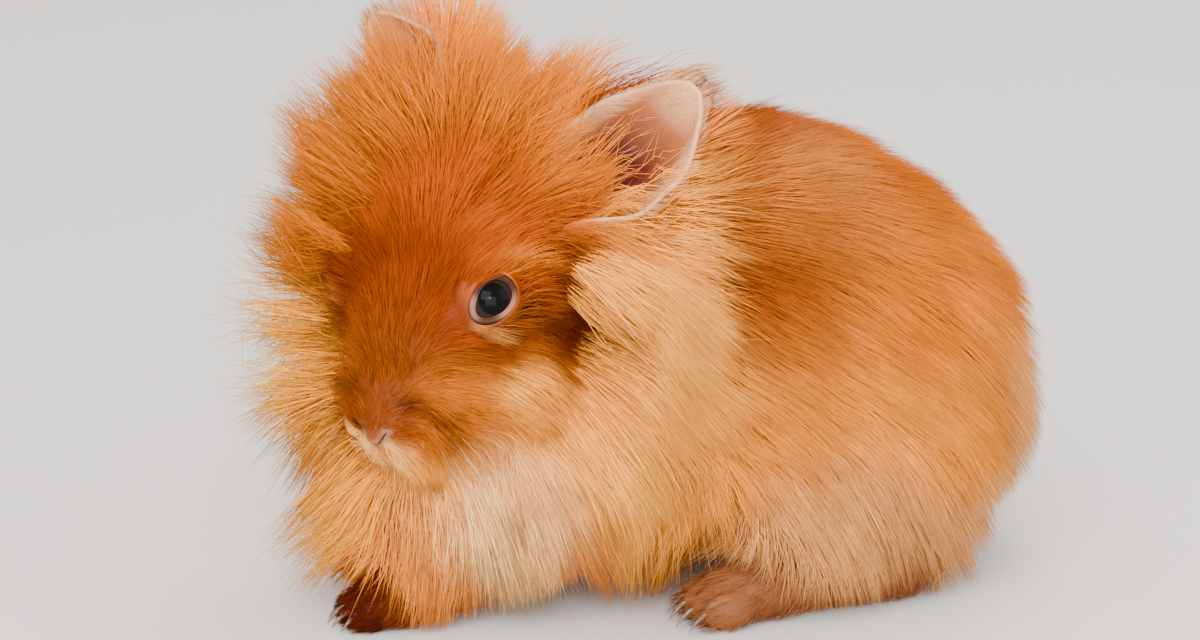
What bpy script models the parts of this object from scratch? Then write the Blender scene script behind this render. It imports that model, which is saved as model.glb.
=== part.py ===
"""A lionhead rabbit at life size, standing still on its four feet with its head turned to its left.

Metres, +Z up. The rabbit faces -Y, its left side is +X, and its soles rest on z = 0.
Each sub-part is one closed solid. The long coat is modelled as flat, tapered locks that are
fused to the sub-part that they grow from, over a core that stays under them. The short coat
is not modelled.
"""

import math
import random

import bmesh
import bpy
from mathutils import Matrix, Vector
from mathutils.bvhtree import BVHTree


def mm(*sizes):
    """Sizes given in millimetres, as a vector in metres."""
    return Vector(sizes) * 0.001


# The middle of the whole rabbit's box, which becomes the origin. The places below are measured
# in millimetres from a point under its shoulders, back from there and up from the floor.
BOX_MIDDLE = mm(0, 18.5, 0)


def at(*place):
    """A place in the rabbit's own frame, from the millimetres that the sizes below give."""
    return mm(*place) - BOX_MIDDLE


# Gap that two touching sub-parts keep
GAP = 0.0003

# The head: where the nose tip is, how far the head is turned and how steeply the face rises
NOSE_TIP = at(35.6, -74, 57)
HEAD_TURN = math.radians(30)
FACE_SLOPE = math.radians(48)

UP = Vector((0, 0, 1))
FORWARD = Vector((math.sin(HEAD_TURN), -math.cos(HEAD_TURN), 0))
LEFT = Vector((math.cos(HEAD_TURN), math.sin(HEAD_TURN), 0))
ALONG = UP * math.sin(FACE_SLOPE) - FORWARD * math.cos(FACE_SLOPE)
OUT = UP * math.cos(FACE_SLOPE) + FORWARD * math.sin(FACE_SLOPE)
HEAD_AXES = Matrix((LEFT, ALONG, OUT)).transposed()


def on_head(left, along, out):
    """A place in millimetres from the nose tip: to the left, up along the face, out of the face."""
    return NOSE_TIP + (LEFT * left + ALONG * along + OUT * out) * 0.001


def near_head(left, back, up):
    """A place in millimetres from the nose tip: to the head's left, level backwards, and up."""
    return NOSE_TIP + (LEFT * left - FORWARD * back + UP * up) * 0.001


# The eyes: radius, place on the head, the lids round them and the opening between the lids
EYE_RADIUS = 0.0074
EYE_PLACE = (18.0, 40.5, 1.5)
LID_WALL = 0.0013
LID_OPENING = mm(5.4, 6.6, 8)
EYE_LOOKS = (0.93, -0.10, 0.36)

# The ears: width, where along them it is full, wall, root and tip, and the way the cup faces
EAR_WIDTH = 0.030
EAR_WIDEST = 0.45
EAR_WALL = 0.0019
EAR_ROWS, EAR_COLUMNS = 9, 7
EAR_ROOTS = {"left": near_head(15, 48, 55), "right": near_head(-18, 49, 53)}
EAR_TIPS = {"left": near_head(34, 86, 80), "right": near_head(-53, 57, 90)}
EAR_FACES = {"left": Vector((0.80, -0.50, 0.25)), "right": Vector((0.35, -0.92, 0.15))}

# Rounded masses of each sub-part under its coat: centre and radii in millimetres
TORSO_MASSES = (
    (at(0, 38, 70), mm(46, 52, 49)),
    (at(0, 70, 56), mm(45, 41, 47)),
    (at(0, -12, 58), mm(38, 46, 44)),
    (at(0, 30, 40), mm(41, 52, 28)),
    (at(4, -26, 38), mm(35, 28, 24)),
)
NECK_MASSES = (
    (at(2, -24, 90), mm(37, 36, 34)),
    (at(6, -36, 70), mm(35, 30, 30)),
    (at(8, -46, 44), mm(27, 20, 27)),
    (at(10, -52, 35), mm(21, 14, 19)),
)
TAIL_MASSES = (
    (at(0, 104, 44), mm(10, 11, 14)),
    (at(0, 110, 33), mm(8, 8, 12)),
)
THIGH_MASSES = (
    (at(34, 58, 40), mm(22, 36, 28)),
    (at(41, 40, 26), mm(15, 24, 18)),
)
HIND_FOOT_MASSES = (
    (at(44, 27, 8), mm(10.5, 18, 9.3)),
    (at(43, 56, 8), mm(9, 26, 9)),
)
FORE_LEG_MASSES = (
    (at(15.5, -45, 19), mm(8.5, 10.5, 16)),
    (at(16, -60, 7), mm(8.5, 14, 7.8)),
)
FORE_LEG_BACK = {"left": 0.0, "right": 10.0}
TOE_COUNT = 4
HIND_TOES = {"first": at(36.6, 14, 5.6), "apart": 5.2, "radii": mm(3.3, 8.5, 6.0)}
FORE_TOES = {"first": at(10.4, -70.5, 4.8), "apart": 3.8, "radii": mm(2.6, 6.5, 5.2)}
CLAW_RADIUS, CLAW_LENGTH = 0.0011, 0.0050
# Opposite corners of the block under the floor that flattens the soles
UNDER_FLOOR = mm(-120, -200, -20), mm(120, 200, 0)

# Head masses: left, along and out of the face, then the radii in the same order
HEAD_MASSES = (
    ((0, 54, -7), (27, 26, 23)),
    ((0, 36, -5), (22, 24, 19)),
    ((0, 15, -7), (17, 17, 13)),
    ((0, 27, -20), (15, 20, 12)),
    ((0, 62, -20), (27, 24, 24)),
)
HEAD_PAIRED_MASSES = (
    ((12, 37, -16), (14, 21, 17)),
    ((15.5, 47, 5), (8, 12, 7)),
    ((10.5, 18, -10), (10, 14, 9)),
)
LIP_PLACE, LIP_RADII = (5.6, 5.5, -9.6), (7.2, 8.5, 7.6)
CHIN_PLACE, CHIN_RADII = (0, 10.5, -17.5), (7.6, 9, 6.2)
NOSE_PLACE, NOSE_RADII = (0, 3.0, -4.4), (5.2, 5.2, 5.2)
NOSTRIL_PLACE, NOSTRIL_RADII = (2.9, -1.3, -4.2), (0.7, 1.9, 1.9)

# Which way the hair runs: a place, and the way that hair rooted near it points
HAIR_WAYS = (
    (at(0, 10, 125), Vector((0, 1, 0.05))),
    (at(0, 60, 118), Vector((0, 1, -0.25))),
    (at(0, 92, 95), Vector((0, 0.75, -0.65))),
    (at(0, 118, 62), Vector((0, 0.35, -1))),
    (at(55, 25, 88), Vector((0.15, 0.9, -0.45))),
    (at(-55, 25, 88), Vector((-0.15, 0.9, -0.45))),
    (at(58, 35, 42), Vector((0.2, 0.6, -0.8))),
    (at(-58, 35, 42), Vector((-0.2, 0.6, -0.8))),
    (at(52, 82, 45), Vector((0.1, 0.6, -0.8))),
    (at(-52, 82, 45), Vector((-0.1, 0.6, -0.8))),
    (at(45, -15, 42), Vector((0.15, 0.4, -0.9))),
    (at(-45, -15, 42), Vector((-0.15, 0.4, -0.9))),
    (at(5, -62, 30), Vector((0, -0.05, -1))),
    (at(0, 25, 8), Vector((0, 1, -0.1))),
    (at(0, 112, 30), Vector((0, 0.5, -1))),
    (near_head(0, 30, 50), ALONG + OUT * 0.3),
    (near_head(0, 52, 72), UP - FORWARD * 0.1),
    (near_head(24, 60, 72), UP * 0.75 + LEFT * 0.35 - FORWARD * 0.55),
    (near_head(-24, 52, 72), UP * 0.95 - LEFT * 0.35),
    (near_head(0, 82, 62), UP * 0.15 - FORWARD),
    (near_head(-30, 45, 42), UP * 0.3 - LEFT * 0.95),
    (near_head(-30, 30, 18), UP * 0.02 - LEFT + FORWARD * 0.05),
    (near_head(-25, 34, -5), UP * -0.6 - LEFT * 0.75),
    (near_head(30, 50, 42), UP * -0.35 + LEFT * 0.45 - FORWARD * 0.8),
    (near_head(30, 30, 15), UP * -0.35 + LEFT * 0.6 - FORWARD * 0.65),
    (near_head(25, 38, -5), UP * -0.75 + LEFT * 0.45 - FORWARD * 0.4),
    (near_head(42, 65, 15), UP * -0.55 + LEFT * 0.2 - FORWARD * 0.8),
    (near_head(-42, 62, 15), UP * -0.55 - LEFT * 0.5 - FORWARD * 0.6),
    (near_head(0, 14, -12), UP * -0.9 - FORWARD * 0.3),
    (near_head(0, 28, -30), UP * -1 + FORWARD * 0.1),
)

# Locks of each region, in millimetres: the space between roots, then a lock's length, width and
# thickness, and the least and the most that its tip stands off the form
COAT = {
    "back": {"apart": 15, "length": 38, "width": 14, "thick": 2.6, "low": 6.5, "high": 10, "sag": 0},
    "thigh": {"apart": 14, "length": 28, "width": 13, "thick": 2.4, "low": 5, "high": 8, "sag": 0},
    "tail": {"apart": 7.5, "length": 20, "width": 9, "thick": 2.2, "low": 4, "high": 9, "sag": 0},
    "mane": {"apart": 9.5, "length": 44, "width": 13, "thick": 2.2, "low": 9, "high": 24, "sag": 3},
    "bib": {"apart": 10.5, "length": 32, "width": 13, "thick": 2.2, "low": 5, "high": 14, "sag": 2},
    "crown": {"apart": 9, "length": 38, "width": 10.5, "thick": 2.0, "low": 8, "high": 60, "sag": 0},
    "tuft": {"apart": 7, "length": 52, "width": 9, "thick": 2.0, "low": 10, "high": 60, "sag": 0},
    "cheek": {"apart": 8, "length": 50, "width": 14.5, "thick": 2.0, "low": 8, "high": 45, "sag": 4},
    "chin": {"apart": 9.5, "length": 26, "width": 12, "thick": 2.0, "low": 3, "high": 30, "sag": 0},
    "ear": {"apart": 10, "length": 22, "width": 8, "thick": 1.6, "low": 2, "high": 12, "sag": 0},
}
# A lock's rings: share of its length, and of its full width and thickness there
LOCK_RINGS = ((0.0, 0.8, 1.0), (0.38, 1.0, 1.0), (0.76, 0.66, 0.75))
# How deep its root sits, how much locks vary in size and in heading, and how far one that meets
# a neighbour is raised at each new try
LOCK_SINK, EAR_LOCK_SINK = 0.0028, 0.0011
LOCK_VARIES = 0.16
LOCK_YAW = math.radians(9)
LOCK_STEP_UP = 0.0018
LOCK_TRIES = 9
# How near a neighbour can push a lock, and how many places are drawn to find even roots
WALL_REACH = 0.010
ROOT_DRAWS = 2600
# How far a root may lie from the outside of the body, and from a neighbour as a share of its width
ROOT_REACH = 0.0022
SEAM_SHARE = 0.45
# How far the locks stay above the floor
FLOOR_CLEARANCE = 0.0012
# Fineness of the grids that the forms are run together on
BODY_VOXEL, LIMB_VOXEL, HEAD_VOXEL = 0.0028, 0.0020, 0.0016
# Decimals of a metre that the places of points are rounded to
PLACE_DIGITS = 7

# Where the locks of the crown start, in millimetres above the nose tip, and where the bib ends
CROWN_UP = 43
BIB_TOP = 0.066
# Height of the hind foot, which has only short hair
FOOT_TOP = 0.020
# How steeply a place faces down before the torso and the tail carry no locks there
BARE_UNDER = 0.5

# Thin cuts that part the neck from the head and from the torso: a place and the way back
HEAD_CUT = (near_head(0, 66, 50), Vector((-FORWARD * 0.92 - UP * 0.38)).normalized())
TORSO_CUT = (at(0, -14, 74), Vector((0, 0.86, -0.51)).normalized())


def hair_way(place):
    """The way that the hair points at a place, taken from the nearest of the places listed."""
    total = Vector((0, 0, 0))
    for anchor, way in HAIR_WAYS:
        total += way.normalized() / ((place - anchor).length_squared + 2e-5) ** 2
    return total.normalized()


def flattened(way, normal):
    """The part of a direction that runs along a surface."""
    return (way - normal * way.dot(normal)).normalized()


def seen_from_head(place):
    """A place as millimetres to the head's left, back from the nose tip and up from it."""
    offset = (place - NOSE_TIP) * 1000
    return offset.dot(LEFT), -offset.dot(FORWARD), offset.dot(UP)


def clear_scene():
    for old in list(bpy.data.objects):
        bpy.data.objects.remove(old)


def material(name, colour, roughness):
    made = bpy.data.materials.new(name)
    made.use_nodes = True
    shader = made.node_tree.nodes["Principled BSDF"]
    shader.inputs["Base Color"].default_value = (*colour, 1)
    shader.inputs["Roughness"].default_value = roughness
    shader.inputs["Metallic"].default_value = 0
    return made


def select_only(obj):
    bpy.ops.object.select_all(action="DESELECT")
    obj.select_set(True)
    bpy.context.view_layer.objects.active = obj


def ball(centre, radii, axes=None, segments=20, rings=14):
    """An egg of the given radii, turned to the given axes."""
    bpy.ops.mesh.primitive_uv_sphere_add(segments=segments, ring_count=rings, radius=1)
    made = bpy.context.object
    turn = axes.to_4x4() if axes is not None else Matrix.Identity(4)
    made.data.transform(Matrix.Translation(centre) @ turn @ Matrix.Diagonal((*radii, 1)))
    return made


def head_ball(place, radii, side=1, **fineness):
    left, along, out = place
    return ball(on_head(left * side, along, out), mm(*radii), HEAD_AXES, **fineness)


def joined(pieces):
    select_only(pieces[0])
    for piece in pieces:
        piece.select_set(True)
    bpy.ops.object.join()
    return bpy.context.object


def apply_modifier(obj, kind, **settings):
    select_only(obj)
    modifier = obj.modifiers.new(kind, kind)
    for name, value in settings.items():
        setattr(modifier, name, value)
    bpy.ops.object.modifier_apply(modifier=modifier.name)


def moulded(name, pieces, voxel, smoothing, triangles):
    """The pieces run together into one smooth closed form of about that many triangles."""
    form = joined(pieces)
    form.name = name
    apply_modifier(form, "REMESH", mode="VOXEL", voxel_size=voxel)
    put_in_order(form)
    apply_modifier(form, "SMOOTH", factor=0.5, iterations=smoothing)
    apply_modifier(form, "TRIANGULATE")
    apply_modifier(form, "DECIMATE", ratio=min(1.0, triangles / len(form.data.polygons)))
    put_in_order(form)
    return form


def put_in_order(obj):
    """Lists the points and faces of a form by their places, so that each build lists them alike."""
    mesh = obj.data
    places = [tuple(round(value, PLACE_DIGITS) for value in point.co) for point in mesh.vertices]
    order = sorted(range(len(places)), key=lambda number: places[number])
    rank = {number: place for place, number in enumerate(order)}
    faces = []
    for face in mesh.polygons:
        corners = [rank[number] for number in face.vertices]
        first = corners.index(min(corners))
        faces.append(corners[first:] + corners[:first])
    mesh.clear_geometry()
    mesh.from_pydata([places[number] for number in order], [], sorted(faces))


def copy_of(obj, grow=0.0):
    """A copy of an object, with its surface moved out by the given distance."""
    made = obj.copy()
    made.data = obj.data.copy()
    bpy.context.scene.collection.objects.link(made)
    if grow:
        shape = bmesh.new()
        shape.from_mesh(made.data)
        shape.normal_update()
        for point in shape.verts:
            point.co += point.normal * grow * point.calc_shell_factor()
        shape.to_mesh(made.data)
        shape.free()
    return made


def combine(obj, pieces, operation):
    """One Boolean of the object with all the pieces, which are then removed."""
    group = bpy.data.collections.new("group")
    bpy.context.scene.collection.children.link(group)
    for piece in pieces:
        for owner in list(piece.users_collection):
            owner.objects.unlink(piece)
        group.objects.link(piece)
    apply_modifier(
        obj, "BOOLEAN", operation=operation, operand_type="COLLECTION", collection=group, solver="MANIFOLD"
    )
    for piece in list(group.objects):
        bpy.data.objects.remove(piece)
    bpy.data.collections.remove(group)
    keep_largest(obj)
    put_in_order(obj)


def keep_largest(obj):
    """Keeps only the largest closed surface, which drops loose scraps and sealed hollows."""
    shape = bmesh.new()
    shape.from_mesh(obj.data)
    unseen = set(shape.verts)
    islands = []
    while unseen:
        start = unseen.pop()
        island, front = {start}, [start]
        while front:
            for edge in front.pop().link_edges:
                other = set(edge.verts) & unseen
                unseen -= other
                island |= other
                front.extend(other)
        islands.append(island)
    largest = max(islands, key=lambda island: abs(enclosed(island)))
    bmesh.ops.delete(shape, geom=[v for v in shape.verts if v not in largest], context="VERTS")
    shape.to_mesh(obj.data)
    shape.free()


def enclosed(points):
    """Six times the volume inside the faces of these points."""
    faces = {face for point in points for face in point.link_faces}
    total = 0.0
    for face in faces:
        corners = [v.co for v in face.verts]
        for one, other in zip(corners[1:], corners[2:]):
            total += corners[0].dot(one.cross(other))
    return total


def tree_of(obj):
    shape = bmesh.new()
    shape.from_mesh(obj.data)
    tree = BVHTree.FromBMesh(shape)
    shape.free()
    return tree


def eye_frame(side):
    """The axes of an eye on the given side, its third one the way it looks, and its centre."""
    left, along, out = EYE_LOOKS
    look = (LEFT * left * side + ALONG * along + OUT * out).normalized()
    low = flattened(ALONG, look)
    axes = Matrix((low.cross(look), low, look)).transposed()
    left, along, out = EYE_PLACE
    return axes, on_head(left * side, along, out)


def head_core():
    """The skull under its short coat, with eye sockets between lids, nose, nostrils and lips."""
    pieces = [head_ball(place, radii) for place, radii in HEAD_MASSES]
    pieces += [head_ball(place, radii, side) for place, radii in HEAD_PAIRED_MASSES for side in (1, -1)]
    head = moulded("head", pieces, HEAD_VOXEL, 5, 620)
    added = [head_ball(LIP_PLACE, LIP_RADII, side, segments=12, rings=8) for side in (1, -1)]
    added.append(head_ball(CHIN_PLACE, CHIN_RADII, segments=12, rings=8))
    added.append(head_ball(NOSE_PLACE, NOSE_RADII, segments=12, rings=8))
    lid = (EYE_RADIUS + GAP + LID_WALL) * Vector((1, 1, 1))
    for side in (1, -1):
        axes, centre = eye_frame(side)
        added.append(ball(centre, lid, axes, 12, 8))
    combine(head, added, "UNION")
    cut = [head_ball(NOSTRIL_PLACE, NOSTRIL_RADII, side, segments=8, rings=6) for side in (1, -1)]
    for side in (1, -1):
        axes, centre = eye_frame(side)
        look = axes.col[2]
        cut.append(ball(centre, (EYE_RADIUS + GAP * 1.5) * Vector((1, 1, 1)), axes, 12, 8))
        cut.append(ball(centre + look * EYE_RADIUS, LID_OPENING, axes, 12, 6))
    combine(head, cut, "DIFFERENCE")
    return head


def eyeball(side):
    axes, centre = eye_frame(side)
    return ball(centre, EYE_RADIUS * Vector((1, 1, 1)), axes, 12, 8)


def claw(root, way, radius, length):
    """A short curved claw that points the given way and down."""
    bpy.ops.mesh.primitive_cone_add(vertices=5, radius1=radius, radius2=radius * 0.3, depth=length)
    made = bpy.context.object
    turn = way.to_track_quat("Z", "Y").to_matrix().to_4x4()
    made.data.transform(Matrix.Translation(root + way * length / 2) @ turn)
    made.matrix_world = Matrix.Identity(4)
    return made


def mirrored(masses, side, back=0.0):
    """Masses of a left limb, or of the right one, moved back by some millimetres."""
    turned = []
    for centre, radii in masses:
        turned.append((Vector((centre.x * side, centre.y + back * 0.001, centre.z)), radii))
    return turned


def toes(plan):
    """Centre and radii of each toe, in a shallow arc."""
    middle = (TOE_COUNT - 1) / 2
    for i in range(TOE_COUNT):
        drawn_back = 1.1 * abs(i - middle) ** 1.3
        yield plan["first"] + mm(plan["apart"] * i, drawn_back, 0), plan["radii"]


def limb(name, masses, toe_plan, side, back, triangles):
    pieces = [ball(centre, radii) for centre, radii in mirrored(masses, side, back)]
    made = moulded(name, pieces, LIMB_VOXEL, 3, triangles)
    toe_masses = mirrored(toes(toe_plan), side, back)
    added = [ball(centre, radii, None, 8, 5) for centre, radii in toe_masses]
    for centre, radii in toe_masses:
        front = centre + Vector((0, -radii.y * 0.72, radii.z * 0.1))
        added.append(claw(front, Vector((0, -0.82, -0.57)), CLAW_RADIUS, CLAW_LENGTH))
    combine(made, added, "UNION")
    floor = box(*UNDER_FLOOR)
    combine(made, [floor], "DIFFERENCE")
    return made


def halved(obj, place, way, keep_front):
    """Cuts a form off flat, half a gap away from a plane, and closes the cut."""
    shape = bmesh.new()
    shape.from_mesh(obj.data)
    offset = way * GAP / 2
    where = place - offset if keep_front else place + offset
    geometry = shape.verts[:] + shape.edges[:] + shape.faces[:]
    bmesh.ops.bisect_plane(
        shape, geom=geometry, plane_co=where, plane_no=way, clear_outer=keep_front, clear_inner=not keep_front
    )
    rim = [edge for edge in shape.edges if edge.is_boundary]
    bmesh.ops.holes_fill(shape, edges=rim)
    bmesh.ops.triangulate(shape, faces=shape.faces[:])
    shape.to_mesh(obj.data)
    shape.free()


def box(low, high):
    bpy.ops.mesh.primitive_cube_add(size=1)
    made = bpy.context.object
    made.data.transform(Matrix.Translation((low + high) / 2) @ Matrix.Diagonal((*(high - low), 1)))
    return made


def ear(side):
    """A short leaf-shaped cup of an ear, open towards the way it faces, rounded at its tip."""
    root, tip = EAR_ROOTS[side], EAR_TIPS[side]
    length = (tip - root).length
    along = (tip - root).normalized()
    facing = flattened(EAR_FACES[side], along)
    across = along.cross(facing)
    rows, columns = EAR_ROWS, EAR_COLUMNS
    shape = bmesh.new()
    skins = []
    for depth in (0.0, EAR_WALL):
        grid = []
        for i in range(rows):
            share = i / (rows - 1) * 0.985
            half_width = ear_half_width(share)
            wrap = math.radians(52 + 88 * (1 - share) ** 2.2)
            radius = half_width / math.sin(min(wrap, math.pi / 2))
            lean = 0.10 * length * math.sin(math.pi * share * 0.9)
            centre = root + along * length * share - facing * lean
            line = []
            for j in range(columns):
                turn = wrap * (2 * j / (columns - 1) - 1)
                thin = depth * (0.55 + 0.45 * math.cos(turn / wrap * math.pi / 2))
                reach = radius + thin
                offset = across * math.sin(turn) * reach - facing * (math.cos(turn) * reach - radius * 0.5)
                line.append(shape.verts.new(centre + offset))
            grid.append(line)
        skins.append(grid)
    inner, outer = skins
    for i in range(rows - 1):
        for j in range(columns - 1):
            shape.faces.new((outer[i][j], outer[i][j + 1], outer[i + 1][j + 1], outer[i + 1][j]))
            shape.faces.new((inner[i][j], inner[i + 1][j], inner[i + 1][j + 1], inner[i][j + 1]))
        shape.faces.new((inner[i][0], outer[i][0], outer[i + 1][0], inner[i + 1][0]))
        shape.faces.new((outer[i][-1], inner[i][-1], inner[i + 1][-1], outer[i + 1][-1]))
    for j in range(columns - 1):
        shape.faces.new((outer[0][j], inner[0][j], inner[0][j + 1], outer[0][j + 1]))
        shape.faces.new((inner[-1][j], outer[-1][j], outer[-1][j + 1], inner[-1][j + 1]))
    bmesh.ops.triangulate(shape, faces=shape.faces[:])
    bmesh.ops.recalc_face_normals(shape, faces=shape.faces[:])
    return new_object("ear_" + side, shape)


def ear_half_width(share):
    """Half of the ear's width at a share of its length: full at the middle, round at the tip."""
    if share > EAR_WIDEST:
        past = (share - EAR_WIDEST) / (1 - EAR_WIDEST)
        return EAR_WIDTH / 2 * math.sqrt(max(0.0, 1 - past ** 2.3))
    return EAR_WIDTH / 2 * (0.62 + 0.38 * math.sin(math.pi / 2 * share / EAR_WIDEST))


def even_roots(form, guide, walls, kind, wanted, draw):
    """Evenly spaced places on the outside of a form and off its neighbours, each with its normal."""
    apart, off_walls = kind["apart"] * 0.001, kind["width"] * SEAM_SHARE * 0.001
    shape = bmesh.new()
    shape.from_mesh(form.data)
    bmesh.ops.triangulate(shape, faces=shape.faces[:])
    faces = shape.faces[:]
    areas = [face.calc_area() for face in faces]
    found = []
    for face in draw.choices(faces, areas, k=ROOT_DRAWS):
        first, second = sorted((draw.random(), draw.random()))
        one, two, three = (corner.co for corner in face.verts)
        place = one * first + two * (second - first) + three * (1 - second)
        _, normal, _, away = guide.find_nearest(place)
        if away > ROOT_REACH or normal.dot(face.normal) < 0.5 or not wanted(place, normal):
            continue
        if any(wall.find_nearest(place, off_walls)[0] is not None for wall in walls):
            continue
        if all((place - other).length > apart for other, _ in found):
            found.append((place.copy(), normal.copy()))
    shape.free()
    return found


def lock_spine(place, normal, guide, walls, kind, length, yaw, higher, way_at):
    """The points along a lock, from its sunk root out to its tip."""
    along = flattened(Matrix.Rotation(yaw, 3, normal) @ way_at(place), normal)
    sink = EAR_LOCK_SINK if kind is COAT["ear"] else LOCK_SINK
    spine = [place - (normal + along * 0.3) * sink]
    point, done = place, 0.0
    shares = [share for share, _, _ in LOCK_RINGS[1:]] + [1.0]
    for share in shares:
        way = Matrix.Rotation(yaw, 3, normal) @ way_at(point)
        along = (along * 0.5 + way * 0.5).normalized()
        point = point + along * (share - done) * length
        point -= UP * kind["sag"] * 0.001 * (share ** 2 - done ** 2)
        done = share
        near, facing, _, _ = guide.find_nearest(point)
        height = (point - near).dot(facing)
        low = (kind["low"] * 0.001 + higher) * share ** 1.2
        high = (kind["high"] * 0.001 + higher) * share
        if not low < height < high:
            point = near + facing * max(low, min(high, height))
        for wall in walls:
            point = clear_of(wall, point, kind["thick"] * 0.0005 + 2 * GAP + higher * 0.5)
        spine.append(point.copy())
    return spine


def clear_of(wall, point, least):
    """The point itself, or moved out of a neighbouring form to the least distance from it."""
    near, facing, _, _ = wall.find_nearest(point, WALL_REACH)
    if near is None or (point - near).dot(facing) >= least:
        return point
    return near + facing * least


def lock_shape(spine, normal, width, thickness):
    """A closed flat lock round a spine, widest near its root and pointed at its tip."""
    shape = bmesh.new()
    rings = []
    facing = normal
    for i, (_, wide, thick) in enumerate(LOCK_RINGS):
        ahead = (spine[i + 1] - spine[max(0, i - 1)]).normalized()
        facing = flattened(facing, ahead)
        side = ahead.cross(facing) * width * wide / 2
        top = facing * thickness * thick
        low = top * -0.3
        corners = [spine[i] + offset for offset in (side + low, top + low, low - side)]
        lift = UP * max(0.0, FLOOR_CLEARANCE - min(corner.z for corner in corners))
        rings.append([shape.verts.new(corner + lift) for corner in corners])
    tip = shape.verts.new(spine[-1] + UP * max(0.0, FLOOR_CLEARANCE - spine[-1].z))
    shape.faces.new(rings[0][::-1])
    for one, other in zip(rings, rings[1:]):
        for k in range(3):
            shape.faces.new((one[k], one[k - 2], other[k - 2], other[k]))
    for k in range(3):
        shape.faces.new((rings[-1][k], rings[-1][k - 2], tip))
    bmesh.ops.triangulate(shape, faces=shape.faces[:])
    bmesh.ops.recalc_face_normals(shape, faces=shape.faces[:])
    return shape


def new_object(name, shape):
    mesh = bpy.data.meshes.new(name)
    shape.to_mesh(mesh)
    shape.free()
    made = bpy.data.objects.new(name, mesh)
    bpy.context.scene.collection.objects.link(made)
    return made


def grow_locks(form, guide, neighbours, regions, seed, way_at=hair_way):
    """Fuses the locks of each region to a form, each bent clear of the neighbours."""
    draw = random.Random(seed)
    walls = [tree_of(neighbour) for neighbour in neighbours]
    locks = []
    for region, wanted in regions:
        kind = COAT[region]
        roots = even_roots(form, guide, walls, kind, wanted, draw)
        for place, normal in roots:
            size = 1 + LOCK_VARIES * draw.uniform(-1, 1)
            yaw = LOCK_YAW * draw.uniform(-1, 1)
            for attempt in range(LOCK_TRIES):
                length = kind["length"] * 0.001 * size * (1 - 0.06 * attempt)
                turned = yaw + (0.08 * attempt if attempt % 2 else -0.08 * attempt)
                raised = LOCK_STEP_UP * attempt
                spine = lock_spine(place, normal, guide, walls, kind, length, turned, raised, way_at)
                width, thickness = kind["width"] * 0.001 * size, kind["thick"] * 0.001
                clear = lock_shape(spine, normal, width + 2 * GAP, thickness + 3 * GAP)
                hull = BVHTree.FromBMesh(clear)
                clear.free()
                if not any(hull.overlap(wall) for wall in walls):
                    locks.append(new_object("lock", lock_shape(spine, normal, width, thickness)))
                    break
    combine(form, locks, "UNION")


def on_crown(place, normal):
    _, back, up = seen_from_head(place)
    return up > CROWN_UP and 20 < back <= 50


def on_tuft(place, normal):
    _, back, up = seen_from_head(place)
    return up > CROWN_UP and back > 50


def on_cheek(place, normal):
    left, back, up = seen_from_head(place)
    behind_eye = up > 24 and back > 38
    below_eye = up <= 24 and back > 15
    return up <= CROWN_UP and abs(left) > 12 and (behind_eye or below_eye) and normal.dot(OUT) < 0.6


def on_chin(place, normal):
    left, back, up = seen_from_head(place)
    return abs(left) <= 13 and up < 4 and back > 13 and normal.z < -0.2


def on_bib(place, normal):
    return place.z < BIB_TOP


def on_mane(place, normal):
    return place.z >= BIB_TOP


def on_coat(place, normal):
    return normal.z > -BARE_UNDER


def ear_way(side):
    """The way of the hair on an ear: along it to its tip, and a little up."""
    along = (EAR_TIPS[side] - EAR_ROOTS[side]).normalized()
    return lambda place: (along + UP * 0.5 - EAR_FACES[side].normalized() * 0.25).normalized()


def on_ear_back(side):
    """Tells whether a place is on the hairy back of an ear, short of its tip."""
    root, tip = EAR_ROOTS[side], EAR_TIPS[side]
    along = (tip - root).normalized()
    facing = flattened(EAR_FACES[side], along)

    def wanted(place, normal):
        share = (place - root).dot(along) / (tip - root).length
        return 0.2 < share < 0.75 and normal.dot(facing) < -0.35
    return wanted


def on_thigh(place, normal):
    return place.z > FOOT_TOP and abs(normal.x) > 0.2


def outside_of(cores):
    """The outside of the whole body under its coat, which locks are laid along."""
    form = moulded("outside", [copy_of(core) for core in cores], BODY_VOXEL, 3, 12000)
    tree = tree_of(form)
    bpy.data.objects.remove(form)
    return tree


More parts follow.
